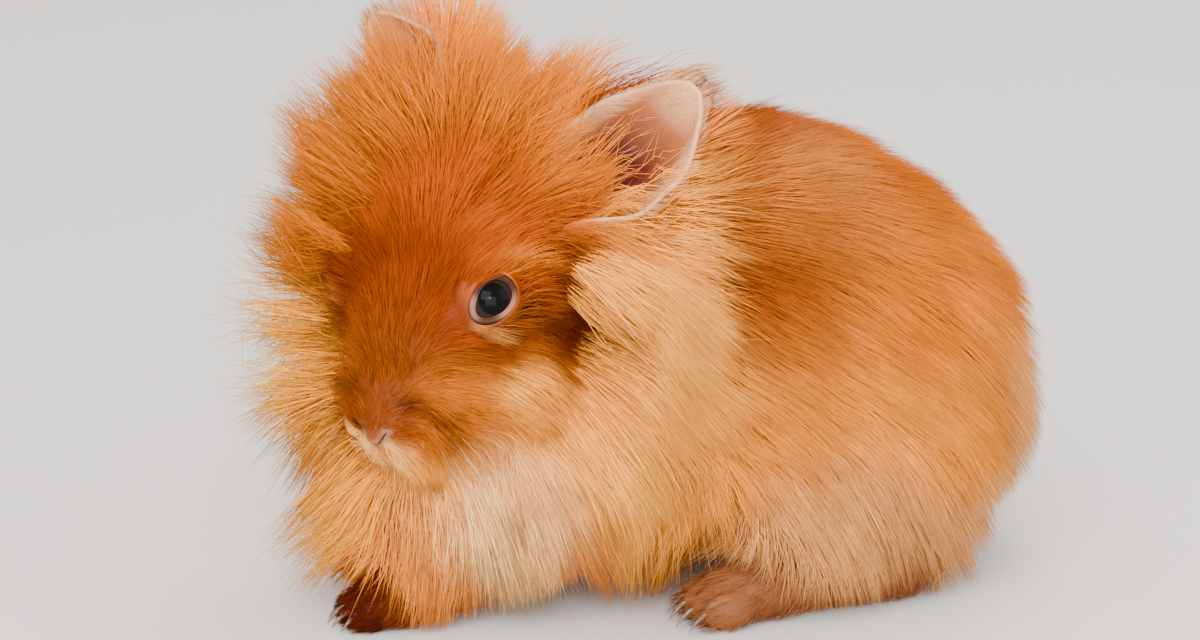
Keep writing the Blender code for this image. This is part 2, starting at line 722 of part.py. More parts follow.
def main():
    clear_scene()
    orange = material("orange_coat", (0.62, 0.24, 0.06), 0.9)
    cream = material("cream_coat", (0.80, 0.50, 0.28), 0.9)
    pink = material("ear_skin", (0.75, 0.42, 0.38), 0.7)
    dark = material("eye", (0.02, 0.012, 0.01), 0.1)

    head = head_core()
    eyes = {side: eyeball(sign) for side, sign in (("left", 1), ("right", -1))}
    ears = {side: ear(side) for side in ("left", "right")}
    neck = moulded("neck", [ball(c, r) for c, r in NECK_MASSES], BODY_VOXEL, 6, 300)
    torso = moulded("torso", [ball(c, r) for c, r in TORSO_MASSES], BODY_VOXEL, 8, 440)
    tail = moulded("tail", [ball(c, r) for c, r in TAIL_MASSES], LIMB_VOXEL, 4, 120)
    forelegs, hindlegs = {}, {}
    for side, sign in (("left", 1), ("right", -1)):
        forelegs[side] = limb("foreleg_" + side, FORE_LEG_MASSES, FORE_TOES, sign, FORE_LEG_BACK[side], 140)
        hindlegs[side] = limb("hindleg_" + side, THIGH_MASSES + HIND_FOOT_MASSES, HIND_TOES, sign, 0, 240)

    halved(head, *HEAD_CUT, True)
    halved(neck, *HEAD_CUT, False)
    halved(neck, *TORSO_CUT, True)
    halved(torso, *TORSO_CUT, False)
    for part in ears.values():
        combine(part, [copy_of(head, GAP)], "DIFFERENCE")
        combine(neck, [copy_of(part, GAP)], "DIFFERENCE")
    for part in forelegs.values():
        combine(part, [copy_of(head, GAP)], "DIFFERENCE")
        combine(neck, [copy_of(part, GAP)], "DIFFERENCE")
    limbs = list(forelegs.values()) + list(hindlegs.values())
    for part in [tail] + limbs:
        combine(torso, [copy_of(part, GAP)], "DIFFERENCE")

    guide = outside_of([head, neck, torso, tail] + limbs)
    small = list(ears.values()) + list(eyes.values())
    head_coat = (("tuft", on_tuft), ("crown", on_crown), ("cheek", on_cheek), ("chin", on_chin))
    grow_locks(head, guide, small + [neck, torso] + limbs, head_coat, 11)
    for seed, (side, part) in enumerate(ears.items()):
        coat = (("ear", on_ear_back(side)),)
        grow_locks(part, tree_of(part), [head, neck, torso], coat, 20 + seed, ear_way(side))
    grow_locks(neck, guide, small + [head, torso] + limbs, (("mane", on_mane), ("bib", on_bib)), 12)
    for seed, part in enumerate(hindlegs.values()):
        others = [torso, tail] + [limb for limb in limbs if limb is not part]
        grow_locks(part, guide, others, (("thigh", on_thigh),), 13 + seed)
    grow_locks(tail, guide, [torso] + limbs, (("tail", on_coat),), 15)
    grow_locks(torso, guide, small + [head, neck, tail] + limbs, (("back", on_coat),), 16)

    looks = {"torso": orange, "neck": cream, "head": orange, "tail": cream}
    for part in (torso, neck, head, tail):
        part.data.materials.clear()
        part.data.materials.append(looks[part.name])
    for side in ("left", "right"):
        eyes[side].name = "eye_" + side
        for part, look in ((eyes[side], dark), (ears[side], pink), (forelegs[side], cream), (hindlegs[side], cream)):
            part.data.materials.clear()
            part.data.materials.append(look)


main()
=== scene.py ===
"""The looks of a life-size lionhead rabbit: its skin, coat, eyes, claws and whiskers, and a stage.

Metres, +Z up. The rabbit faces -Y with its head turned to its left, which is +X, and its feet
rest on z = 0. The skin is run together from rounded masses. The coat is grown on it as joined
meshes of thin tapered strands, gathered into tufts, that follow a table of how the coat lies.
"""

import math

import bpy
import numpy as np
from mathutils import Matrix, Vector
from mathutils.bvhtree import BVHTree
from mathutils.kdtree import KDTree


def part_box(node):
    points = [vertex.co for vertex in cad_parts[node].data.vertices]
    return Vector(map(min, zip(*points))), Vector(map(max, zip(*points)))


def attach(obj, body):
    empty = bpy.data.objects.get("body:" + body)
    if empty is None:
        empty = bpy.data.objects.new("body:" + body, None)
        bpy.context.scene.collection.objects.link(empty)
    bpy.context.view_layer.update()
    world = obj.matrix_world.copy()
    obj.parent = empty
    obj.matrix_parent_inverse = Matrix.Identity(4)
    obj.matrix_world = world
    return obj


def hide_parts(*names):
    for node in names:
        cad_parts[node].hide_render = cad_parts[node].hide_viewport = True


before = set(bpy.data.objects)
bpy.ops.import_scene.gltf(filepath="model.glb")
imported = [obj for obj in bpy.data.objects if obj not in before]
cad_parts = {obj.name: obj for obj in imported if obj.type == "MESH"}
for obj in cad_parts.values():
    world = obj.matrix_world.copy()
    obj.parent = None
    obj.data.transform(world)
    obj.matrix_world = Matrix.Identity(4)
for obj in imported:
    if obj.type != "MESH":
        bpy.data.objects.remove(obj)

bl_info = {
    "name": "Lionhead Rabbit",
    "version": (1, 0, 0),
    "blender": (4, 5, 0),
    "location": "View3D > Sidebar > Rabbit",
    "description": "Models the skin, coat, eyes, claws and whiskers of a lionhead rabbit, and its stage",
    "category": "Object",
}


def read(items, name, width, kind=np.float32):
    """One value of all the items of a mesh, in rows of the given width."""
    found = np.empty(len(items) * width, kind)
    items.foreach_get(name, found)
    return found.reshape(-1, width)


def mm(*sizes):
    """Sizes given in millimetres, as a vector in metres."""
    return Vector(sizes) * 0.001


# The middle of the rabbit's box. Places are given back from its shoulders and up from the floor
BOX_MIDDLE = mm(0, 18.5, 0)


def at(*place):
    return mm(*place) - BOX_MIDDLE


# The head's place, turn and slope, and the three ways that its places are measured
NOSE_TIP = at(35.6, -74, 57)
HEAD_TURN = math.radians(30)
FACE_SLOPE = math.radians(48)
UP = Vector((0, 0, 1))
ALL_ROUND = Vector((1, 1, 1))
FORWARD = Vector((math.sin(HEAD_TURN), -math.cos(HEAD_TURN), 0))
LEFT = Vector((math.cos(HEAD_TURN), math.sin(HEAD_TURN), 0))
ALONG = UP * math.sin(FACE_SLOPE) - FORWARD * math.cos(FACE_SLOPE)
OUT = UP * math.cos(FACE_SLOPE) + FORWARD * math.sin(FACE_SLOPE)
HEAD_AXES = Matrix((LEFT, ALONG, OUT)).transposed()


def on_head(left, along, out):
    """Millimetres from the nose tip: to the left, up along the face, and out of the face."""
    return NOSE_TIP + (LEFT * left + ALONG * along + OUT * out) * 0.001


def near_head(left, back, up):
    """Millimetres from the nose tip: to the head's left, level backwards, and up."""
    return NOSE_TIP + (LEFT * left - FORWARD * back + UP * up) * 0.001


def heading(left, back, up):
    """A direction from its shares to the head's left, level backwards, and up."""
    return (LEFT * left - FORWARD * back + UP * up).normalized()


# The flat cuts behind the head and behind the neck: a place and the way back
HEAD_CUT = (near_head(0, 66, 50), (-FORWARD * 0.92 - UP * 0.38).normalized())
TORSO_CUT = (at(0, -14, 74), Vector((0, 0.86, -0.51)).normalized())

# A line inside the rabbit from its nose to its rump, which the coat's whole form is rounded about
INNER_LINE = (near_head(0, 12, 4), near_head(0, 40, 22), at(4, -16, 80), at(0, 30, 64), at(0, 80, 58))

# Rounded masses of the solids' cores: centre and radii in millimetres
TORSO_MASSES = (
    (at(0, 38, 70), mm(46, 52, 49)),
    (at(0, 70, 56), mm(45, 41, 47)),
    (at(0, -12, 58), mm(38, 46, 44)),
    (at(0, 30, 40), mm(41, 52, 28)),
    (at(4, -26, 38), mm(35, 28, 24)),
    (at(2, -24, 90), mm(37, 36, 34)),
    (at(6, -36, 70), mm(35, 30, 30)),
    (at(8, -46, 44), mm(27, 20, 27)),
    (at(10, -52, 35), mm(21, 14, 19)),
    (at(0, 104, 44), mm(10, 11, 14)),
    (at(0, 110, 33), mm(8, 8, 12)),
    (at(34, 58, 40), mm(22, 36, 28)),
    (at(41, 40, 26), mm(15, 24, 18)),
    (at(-34, 58, 40), mm(22, 36, 28)),
    (at(-41, 40, 26), mm(15, 24, 18)),
)
FOOT_MASSES = (
    (at(44, 27, 8), mm(10.5, 18, 9.3)),
    (at(43, 56, 8), mm(9, 26, 9)),
    (at(-44, 27, 8), mm(10.5, 18, 9.3)),
    (at(-43, 56, 8), mm(9, 26, 9)),
    (at(15.5, -45, 19), mm(8.5, 10.5, 16)),
    (at(16, -60, 7), mm(8.5, 14, 7.8)),
    (at(-15.5, -35, 19), mm(8.5, 10.5, 16)),
    (at(-16, -50, 7), mm(8.5, 14, 7.8)),
)
HEAD_MASSES = (
    ((0, 54, -7), (27, 26, 23)),
    ((0, 36, -5), (22, 24, 19)),
    ((0, 15, -7), (17, 17, 13)),
    ((0, 27, -20), (15, 20, 12)),
    ((0, 62, -20), (27, 24, 24)),
    ((12, 37, -16), (14, 21, 17)),
    ((-12, 37, -16), (14, 21, 17)),
    ((15.5, 47, 5), (8, 12, 7)),
    ((-15.5, 47, 5), (8, 12, 7)),
    ((10.5, 18, -10), (10, 14, 9)),
    ((-10.5, 18, -10), (10, 14, 9)),
)
# The muzzle's own masses: pads that carry the whiskers, chin and nose
MUZZLE_MASSES = (
    ((5.6, 5.5, -9.6), (7.2, 8.5, 7.6)),
    ((-5.6, 5.5, -9.6), (7.2, 8.5, 7.6)),
    ((0, 10.5, -17.5), (7.6, 9, 6.2)),
    ((0, 3.0, -4.4), (5.6, 5.4, 5.2)),
)
MOUTH = ((0, 2.5, -14.6), (6.0, 5.0, 0.5))
# The bare folds of the nose: two nostril slits that meet, and the cleft below them
NOSE_FOLDS = (
    ((0, -0.9, -5.4), (3.9, 2.4, -2.4)),
    ((0, -0.9, -5.4), (-3.9, 2.4, -2.4)),
    ((0, -0.9, -5.4), (0, 0.6, -12.0)),
)
FOLD_BARE = 0.00085

# Toes: the first one's centre, the space between them, radii and how far each foot is moved back
TOE_COUNT = 4
HIND_TOES = {"first": at(36.6, 14, 5.6), "apart": 5.2, "radii": mm(3.3, 8.5, 6.0), "back": {1: 0, -1: 0}}
FORE_TOES = {"first": at(10.4, -70.5, 4.8), "apart": 3.8, "radii": mm(2.6, 6.5, 5.2), "back": {1: 0, -1: 10}}

SIDES = {"left": 1, "right": -1}

# Triangles that the skin keeps, without its ears and lids
FLESH_FACES = 110000

# The way the eyes look, and the opening between their lids: half sizes, lean and pointed foot
EYE_LOOKS = (0.76, -0.13, 0.64)
LID_ROOM = 0.00025
LID_SINK = 0.0008
LID_HALF_WIDTH, LID_HALF_HEIGHT = 0.0044, 0.0064
LID_LEAN = math.radians(13)
LID_POINTED = 0.16
# The lids' cross-section: how far out from the opening, and how far off the eye, each ring is
LID_PROFILE = (
    (-0.0004, -0.0001), (0.0, 0.0001), (0.0001, 0.0003), (0.0003, 0.0006),
    (0.0006, 0.0008), (0.0010, 0.0008), (0.0015, 0.0005), (0.0021, -0.0001),
)
# How far in front of each eye the coat is kept off it
EYE_CLEAR = {"left": 0.024, "right": 0.0095}

# The ears: root and tip, and the way that the cup faces
EAR_ROOTS = {"left": near_head(18, 50, 48), "right": near_head(-18, 49, 53)}
EAR_TIPS = {"left": near_head(34.5, 86, 78.5), "right": near_head(-53, 57, 90)}
EAR_FACES = {"left": Vector((0.80, -0.50, 0.25)), "right": Vector((0.35, -0.92, 0.15))}
EAR_WIDEST = 0.45
EAR_FOOT = -0.20
# From here on an ear's cup is open to view; the forelock covers most of the right one
EAR_OPEN = {"left": 0.44, "right": 0.86}

# How deep a whisker's root sits in the skin, and how thick a claw's root is
WHISKER_SUNK = 0.0008
CLAW_THICKNESS = 0.0021

# Colours of the coat, as seen at a strand's root and at its tip
TONES = {
    "back": ((0.16, 0.021, 0.001), (0.245, 0.036, 0.001)),
    "ridge": ((0.30, 0.055, 0.001), (0.44, 0.098, 0.003)),
    "rump": ((0.44, 0.095, 0.002), (0.64, 0.170, 0.005)),
    "forehead": ((0.26, 0.035, 0.001), (0.43, 0.073, 0.002)),
    "crown": ((0.42, 0.082, 0.001), (0.62, 0.165, 0.003)),
    "bridge": ((0.13, 0.017, 0.001), (0.25, 0.038, 0.001)),
    "muzzle": ((0.11, 0.019, 0.001), (0.24, 0.046, 0.002)),
    "streak": ((0.014, 0.003, 0.001), (0.038, 0.006, 0.001)),
    # Partly the fur's own dark colour, partly painted shade of the hollow behind the eye under the mane's
    # overhang
    "brown": ((0.030, 0.004, 0.001), (0.080, 0.009, 0.001)),
    "brow": ((0.06, 0.010, 0.001), (0.11, 0.019, 0.001)),
    "lip": ((0.94, 0.37, 0.090), (0.99, 0.50, 0.120)),
    "under": ((0.125, 0.021, 0.001), (0.21, 0.040, 0.001)),
    "beside": ((0.29, 0.066, 0.001), (0.50, 0.120, 0.002)),
    "cheek": ((0.82, 0.25, 0.016), (0.93, 0.36, 0.038)),
    "pale": ((0.99, 0.45, 0.15), (0.99, 0.56, 0.22)),
    "mane": ((0.98, 0.315, 0.024), (0.99, 0.41, 0.060)),
    "ruff": ((0.98, 0.30, 0.010), (0.99, 0.44, 0.030)),
    "tuft": ((0.84, 0.19, 0.004), (0.99, 0.30, 0.010)),
    "flank": ((0.58, 0.155, 0.005), (0.82, 0.265, 0.013)),
    "thigh": ((0.62, 0.24, 0.065), (0.78, 0.36, 0.115)),
    "chest": ((0.70, 0.19, 0.020), (0.86, 0.27, 0.038)),
    "fore": ((0.035, 0.004, 0.001), (0.07, 0.008, 0.001)),
    "hind": ((0.11, 0.031, 0.008), (0.22, 0.072, 0.021)),
    "ear": ((0.50, 0.22, 0.10), (0.68, 0.34, 0.17)),
}



def along_axes(*way):
    return Vector(way)


def lies(place_from, way_from, *rows):
    """Rows of the table below, whose first six numbers give their place and their way."""
    return [(place_from(*row[:3]), way_from(*row[3:6]), *row[6:]) for row in rows]


# How the coat lies. Each row: a place, the way that hair points there, its length, how far its
# tip stands off the skin, how much further it may float, all three in millimetres, and its tone
COAT_LIE = (
    *lies(
        at, along_axes,
        (0, 10, 125, 0, 1, 0.05, 30, 13, 3, "back"), (22, 2, 120, 0.1, 1, -0.05, 29, 12, 3, "back"),
        (-22, 2, 120, -0.1, 1, -0.05, 29, 12, 3, "back"), (40, 2, 104, 0.15, 0.95, -0.3, 28, 15, 4, "back"),
        (-40, 2, 104, -0.15, 0.95, -0.3, 28, 11, 3, "back"), (0, 60, 118, 0, 1, -0.25, 29, 14, 3, "ridge"),
        (0, 92, 95, 0, 0.75, -0.65, 29, 12, 3, "rump"), (0, 118, 62, 0, 0.45, -1, 33, 16, 5, "thigh"),
        (24, 110, 50, 0.15, 0.55, -0.9, 33, 16, 5, "thigh"),
        (-24, 110, 50, -0.15, 0.45, -0.9, 30, 13, 5, "thigh"),
        (53, 10, 90, 0.15, 0.9, -0.45, 27, 12, 3, "back"),
        (-53, 10, 90, -0.15, 0.9, -0.45, 27, 9, 3, "back"),
        (48, 4, 74, 0.15, 0.85, -0.5, 28, 15, 5, "flank"),
        (-48, -2, 74, -0.15, 0.85, -0.5, 28, 10, 4, "flank"),
        (52, 62, 92, 0.1, 0.8, -0.6, 27, 9, 3, "rump"), (-52, 62, 92, -0.1, 0.8, -0.6, 27, 9, 3, "rump"),
        (58, 36, 66, 0.2, 0.75, -0.65, 26, 9, 3, "flank"),
        (-58, 36, 66, -0.2, 0.75, -0.65, 26, 9, 3, "flank"),
        (56, 74, 60, 0.1, 0.6, -0.8, 27, 10, 4, "flank"),
        (-56, 74, 60, -0.1, 0.6, -0.8, 27, 10, 4, "flank"),
        (58, 40, 38, 0.2, 0.5, -0.85, 26, 10, 4, "thigh"),
        (-58, 40, 38, -0.2, 0.5, -0.85, 26, 10, 4, "thigh"),
        (52, 82, 34, 0.1, 0.5, -0.85, 25, 10, 4, "thigh"),
        (-52, 82, 34, -0.1, 0.5, -0.85, 25, 10, 4, "thigh"),
        (45, -5, 50, 0.15, 0.5, -0.85, 32, 17, 7, "flank"),
        (-45, -5, 50, -0.15, 0.5, -0.85, 30, 10, 5, "chest"),
        (40, -25, 30, 0.15, 0.2, -1, 28, 9, 5, "chest"), (-40, -25, 30, -0.15, 0.2, -1, 28, 9, 5, "chest"),
        (8, -66, 44, 0.1, -0.1, -1, 32, 10, 8, "chest"), (-8, -60, 30, -0.1, -0.1, -1, 28, 9, 6, "chest"),
        (20, -60, 26, 0.15, -0.1, -1, 26, 9, 6, "chest"), (0, 25, 10, 0, 1, -0.1, 16, 5, 2, "chest"),
        (0, 112, 30, 0, 0.5, -1, 20, 8, 3, "thigh"), (15.5, -52, 20, 0, -0.4, -1, 8, 2.2, 1, "fore"),
        (-15.5, -42, 20, 0, -0.4, -1, 8, 2.2, 1, "fore"), (16, -68, 8, 0, -1, -0.25, 5, 1.2, 0.4, "fore"),
        (-16, -58, 8, 0, -1, -0.25, 5, 1.2, 0.4, "fore"), (45, 20, 10, 0, -1, -0.25, 5.5, 1.4, 0.5, "hind"),
        (-45, 20, 10, 0, -1, -0.25, 5.5, 1.4, 0.5, "hind"), (45, 60, 6, 0, -0.2, -1, 7, 2, 0.5, "hind"),
        (-45, 60, 6, 0, -0.2, -1, 7, 2, 0.5, "hind"),
    ),
    *lies(
        near_head, heading,
        (0, -1, 4, 0, 0.3, 1, 2.8, 0.9, 0.3, "muzzle"), (8, 5, 3, 0.5, 0.8, 0.2, 4, 1.2, 0.4, "muzzle"),
        (-8, 5, 3, -0.8, 0.4, 0.1, 6, 3, 0.8, "muzzle"),
    ),
    (near_head(0, 10, 15), ALONG, 6, 1.8, 0.6, "muzzle"),
    (near_head(0, 21, 30), ALONG + OUT * 0.15, 9, 3, 1, "bridge"),
    (near_head(10, 20, 24), ALONG + LEFT * 0.25, 8, 2.5, 1, "bridge"),
    (near_head(-10, 20, 24), ALONG - LEFT * 0.3, 8, 2.5, 1, "bridge"),
    (near_head(0, 34, 46), ALONG + OUT * 0.45, 17, 9, 6, "forehead"),
    *lies(
        near_head, heading,
        (0, 48, 60, 0, -0.05, 1, 34, 25, 20, "crown"), (16, 46, 56, 0.4, 0.25, 0.85, 30, 20, 18, "crown"),
        (-16, 44, 56, -0.45, -0.1, 0.95, 38, 28, 22, "crown"),
        (-21, 38, 50, -0.65, -0.2, 0.80, 38, 28, 22, "crown"),
        (4, 64, 62, 0.25, 0.40, 0.88, 42, 38, 14, "tuft"), (0, 84, 60, 0, 0.9, 0.35, 30, 14, 8, "crown"),
        (12, 92, 57, 0, 1, 0.05, 27, 10, 5, "back"), (18, 28, 42, 0.35, 0.75, 0.5, 9, 2.6, 1, "forehead"),
        (-18, 27, 42, -0.55, 0.5, 0.6, 11, 4, 2, "forehead"),
        (25, 40, 40, 0.3, 0.95, -0.15, 15, 5, 3, "brow"),
        (22, 45, 50, 0.45, 0.75, 0.0, 20, 7, 5, "forehead"),
        (24, 50, 43, 0.40, 0.7, -0.55, 24, 9, 5, "cheek"),
        (26, 61, 42, 0.50, 0.42, -0.75, 37, 24, 14, "mane"),
        (24, 67, 50, 0.42, 0.36, -0.83, 38, 24, 14, "mane"),
        (20, 22, 20, 0.3, 0.85, -0.25, 9, 2.3, 1, "under"),
        (-20, 22, 20, -0.90, 0.1, 0, 16, 10, 5, "under"), (15, 13, 8, 0.4, 0.8, -0.35, 9, 2.6, 1, "beside"),
        (11, 9, 2, 0.35, 0.45, -0.85, 12, 3.5, 2, "beside"), (9, 12, -7, 0.3, 0.5, -0.9, 13, 4, 3, "cheek"),
        (-15, 13, 5, -0.85, 0.2, -0.1, 15, 9, 4, "beside"),
        (-17, 20, 30, -0.80, 0.1, 0.2, 15, 9, 4, "bridge"), (22, 26, 5, 0.4, 0.75, -0.5, 19, 6, 5, "cheek"),
        (21, 24, 11, 0.4, 0.75, -0.4, 13, 4, 3, "cheek"), (23, 37, 24, 0.35, 0.9, -0.25, 11, 3, 2, "under"),
        # Behind the eye: dark fur darkened further as painted shade of the hollow under the mane
        (24, 45, 24, 0.35, 0.8, -0.35, 13, 4, 2, "brown"),
        (26, 53, 25, 0.45, 0.7, -0.55, 22, 12, 8, "mane"),
        (27, 46, 13, 0.45, 0.6, -0.6, 33, 20, 11, "cheek"),
        (31, 60, 24, 0.50, 0.48, -0.70, 38, 25, 14, "mane"),
        (16, 24, -10, 0.35, 0.5, -0.8, 25, 9, 9, "pale"),
        (-21, 24, 8, -1, -0.34, -0.20, 50, 40, 18, "ruff"),
        (-25, 38, 22, -1, -0.36, -0.02, 57, 46, 18, "ruff"),
        (-24, 40, 44, -0.92, -0.20, 0.35, 42, 33, 16, "crown"),
        (-22, 31, 34, -0.95, -0.25, 0.15, 40, 30, 14, "crown"),
        (-16, 22, -10, -0.85, -0.30, -0.5, 44, 30, 16, "ruff"),
        (-30, 60, 20, -0.7, 0.6, -0.4, 42, 17, 14, "mane"), (0, 6, -14, 0, 0.6, -0.8, 7, 2.2, 1, "lip"),
        (0, 22, -26, 0, 0.05, -1, 30, 10, 9, "chest"),
    ),
    *lies(
        at, heading,
        (28, -18, 98, 0.45, 0.40, -0.75, 37, 24, 14, "mane"),
        (28, -18, 79, 0.45, 0.40, -0.75, 38, 26, 14, "mane"),
        (31, -20, 62, 0.40, 0.35, -0.85, 40, 26, 14, "mane"),
        (31, -12, 50, 0.40, 0.25, -0.90, 38, 24, 12, "mane"),
        (32, -44, 46, 0.25, 0.2, -1, 36, 12, 10, "pale"),
        (-30, -24, 98, -0.5, 0.7, -0.3, 40, 14, 10, "mane"),
        (-35, -24, 78, -0.6, 0.5, -0.6, 42, 16, 12, "mane"),
        (-32, -34, 58, -0.5, 0.2, -0.85, 38, 14, 12, "mane"), (6, -22, 122, 0, 1, 0.05, 28, 12, 7, "crown"),
    ),
    *lies(
        at, along_axes,
        (30, 0, 112, 0.12, 1, -0.15, 30, 14, 4, "back"), (36, 3, 92, 0.15, 0.95, -0.35, 29, 14, 4, "back"),
        (24, -3, 100, 0.15, 0.95, -0.35, 29, 16, 4, "back"), (8, -4, 124, 0, 1, 0, 30, 13, 4, "back"),
    ),
    (EAR_ROOTS["left"].lerp(EAR_TIPS["left"], 0.3), heading(0.05, 0.35, 0.93), 33, 22, 14, "tuft"),
    (EAR_ROOTS["left"].lerp(EAR_TIPS["left"], 0.75), heading(0.2, 0.7, 0.7), 17, 7, 6, "tuft"),
    (EAR_TIPS["left"], heading(0.45, 0.8, 0.4), 6, 2, 1, "ear"),
    (EAR_ROOTS["right"].lerp(EAR_TIPS["right"], 0.3), heading(-0.1, 0.2, 1), 32, 16, 14, "tuft"),
    (EAR_ROOTS["right"].lerp(EAR_TIPS["right"], 0.75), heading(-0.45, 0.2, 0.9), 18, 8, 6, "tuft"),
    (EAR_TIPS["right"], heading(-0.7, 0.2, 0.7), 6, 2, 1, "ear"),
)

# Small marks laid over the table's tones: centre, radii to the left, back and up, tone and share
MARKS = (
    ((25, 42, 31.5), (6, 10, 2.6), "streak", 0.92),
    # Behind the eye: the fur's own dark colour with painted shade of the hollow under the mane
    ((22.5, 42, 23.5), (7, 10, 6), "brown", 0.96),
    ((23, 34, 33), (4.5, 5.5, 3.2), "streak", 0.85),
    ((-25, 42, 31.5), (6, 10, 2.6), "streak", 0.9),
    # Behind the other eye: the fur's own dark colour with painted shade of the hollow, as on the near side
    ((-24.5, 45, 25.5), (7, 13, 6.5), "brown", 0.85),
    ((7.5, 5.5, 7.0), (2.6, 2.4, 2.2), "streak", 0.75),
    ((12.6, 9.8, 6.5), (3.8, 3.4, 2.0), "streak", 0.95),
    ((13.5, 13, 1.5), (3.0, 4.0, 1.8), "streak", 0.85),
    ((-7.5, 5.5, 7.0), (2.6, 2.4, 2.2), "streak", 0.5),
    ((-12.6, 9.8, 6.5), (3.2, 3.0, 2.2), "streak", 0.5),
    ((3.2, 4.2, -4.2), (4, 3.5, 2.2), "lip", 0.9),
    ((-3.2, 4.2, -4.2), (4, 3.5, 2.2), "lip", 0.9),
    ((20.5, 19, 25.5), (2.6, 3.2, 2.6), "lip", 0.28),
    ((-20.5, 19, 25.5), (2.6, 3.2, 2.6), "lip", 0.28),
    ((21, 29, 39.5), (4, 9, 2.2), "tuft", 0.5),
)

# The coat's pieces: slot, seed, strands, rings to a strand and strands to a small tuft
PIECES = {
    "coat_face": ("coat_orange", 101, 15500, 2, 5),
    "coat_crown": ("coat_orange", 102, 9500, 3, 10),
    "coat_cheek_left": ("coat_cream", 103, 10000, 3, 9),
    "coat_cheek_right": ("coat_cream", 104, 8000, 3, 10),
    "coat_mane_left": ("coat_cream", 111, 8000, 3, 10),
    "coat_mane_right": ("coat_cream", 112, 4500, 3, 10),
    "coat_chest": ("coat_cream", 113, 7500, 3, 10),
    "coat_back": ("coat_orange", 121, 16500, 2, 11),
    "coat_side_left": ("coat_orange", 122, 17000, 2, 11),
    "coat_side_right": ("coat_orange", 123, 9000, 2, 11),
    "coat_feet": ("coat_cream", 131, 7000, 2, 4),
    "coat_ears": ("coat_cream", 132, 3800, 3, 6),
    "coat_ear_rims": ("coat_cream", 133, 2400, 2, 4),
}
# The hair on the rims of the ears has its own length, rise and float, and one tone
RIM_HAIR = (5.0, 1.3, 0.8)
RIM_TONE = "ear"

# The room for the coat: a strand that strays past it is left out
ROOM = ((-0.0715, -0.1243, 0.0), (0.0715, 0.1225, 0.1700))


def length_setting(name, description, default, least=0.0):
    return bpy.props.FloatProperty(
        name=name, description=description, default=default, min=least, unit="LENGTH"
    )


def share_setting(name, description, default, least=0.0):
    return bpy.props.FloatProperty(
        name=name, description=description, default=default, min=least, max=1, subtype="FACTOR"
    )


def colour_setting(name, description, default):
    return bpy.props.FloatVectorProperty(
        name=name, description=description, default=default, size=3, min=0, max=1, subtype="COLOR"
    )


def power_setting(name, description, default):
    return bpy.props.FloatProperty(name=name, description=description, default=default, min=0, unit="POWER")


def angle_setting(name, description, degrees):
    return bpy.props.FloatProperty(
        name=name, description=description, default=math.radians(degrees), subtype="ANGLE", unit="ROTATION"
    )


class RabbitSkin(bpy.types.PropertyGroup):
    body_depth: length_setting("Body depth", "How far the skin lies inside the body's core", 0.0045)
    face_depth: length_setting("Face depth", "How far the skin lies inside the head's core", 0.0024)
    foot_depth: length_setting("Foot depth", "How far the skin lies inside the feet's solids", 0.0015)
    lid: length_setting("Lid", "Thickness of the flesh of the eyelids over the eyes", 0.0014, 0.0003)
    grid: length_setting("Grid", "Fineness of the grid that runs the masses together", 0.0010, 0.0005)
    ear_width: length_setting("Ear width", "Width of an ear at its widest", 0.029, 0.01)
    ear_wall: length_setting("Ear wall", "Thickness of an ear's skin", 0.0014, 0.0005)
    bare: colour_setting("Bare skin", "Colour of the skin of the lids and the nose", (0.28, 0.11, 0.07))
    lid_dark: colour_setting("Lid edge", "Colour of the lids where the coat meets them", (0.05, 0.016, 0.008))
    ear_inside: colour_setting("Ear inside", "Colour of the skin near an ear's rim", (0.43, 0.13, 0.038))
    # Painted shade: the near-black red deep in an ear's cup stands in for the shade of its hollow
    ear_cup_shade: colour_setting("Ear cup shade", "Colour of the skin deep in the cup of an ear", (0.06, 0.002, 0.001))


class RabbitCoat(bpy.types.PropertyGroup):
    fullness: share_setting("Fullness", "Share of the full count of strands", 1.0, 0.05)
    thickness: length_setting("Strand thickness", "Thickness of a long strand at its middle", 0.00021, 0.0001)
    varies: share_setting("Varies", "How much strands vary in length", 0.22)
    astray: share_setting("Astray", "How far strands stray from the way of the coat", 0.10)
    gather: share_setting("Gather", "How far the tips of a tuft come together", 0.50)
    sway: share_setting("Sway", "How strongly the coat drifts from its way in soft waves", 0.27)
    wild: share_setting("Wild", "Share of strands that stand free of the rest", 0.04)


class RabbitFace(bpy.types.PropertyGroup):
    whisker_length: length_setting("Whisker length", "Length of the longest whisker", 0.050, 0.01)
    whisker_thickness: length_setting("Whisker thickness", "Thickness of a whisker's root", 0.00015, 0.00008)
    iris: colour_setting("Iris", "Colour of the ring round the pupil", (0.020, 0.011, 0.007))
    claw: colour_setting("Claw", "Colour of the claws", (0.075, 0.042, 0.030))


class RabbitStage(bpy.types.PropertyGroup):
    floor: colour_setting("Floor", "Colour of the floor", (0.56, 0.53, 0.51))
    key_power: power_setting("Key light", "Power of the main light", 35.0)
    fill_power: power_setting("Fill light", "Power of the light from the other side", 13.0)
    camera_turn: angle_setting("Camera turn", "How far the camera stands round to the rabbit's left", 70)
    camera_height: angle_setting("Camera height", "How far the camera looks down", 15)
    camera_distance: length_setting("Camera distance", "Distance to what the camera looks at", 0.9, 0.1)
    camera_lens: bpy.props.FloatProperty(
        name="Lens", description="Focal length of the camera's lens in millimetres", default=103.8, min=10,
        subtype="DISTANCE_CAMERA",
    )


# Tools for modelling


def deselect():
    bpy.ops.object.select_all(action="DESELECT")


def select(*objects):
    deselect()
    for obj in objects:
        obj.select_set(True)
    bpy.context.view_layer.objects.active = objects[0]


def joined(objects, name):
    select(*objects)
    bpy.ops.object.join()
    made = bpy.context.object
    made.name = name
    made.data.name = name
    return made


def apply_modifier(obj, kind, **settings):
    select(obj)
    modifier = obj.modifiers.new(kind, kind)
    for name, value in settings.items():
        setattr(modifier, name, value)
    bpy.ops.object.modifier_apply(modifier=modifier.name)


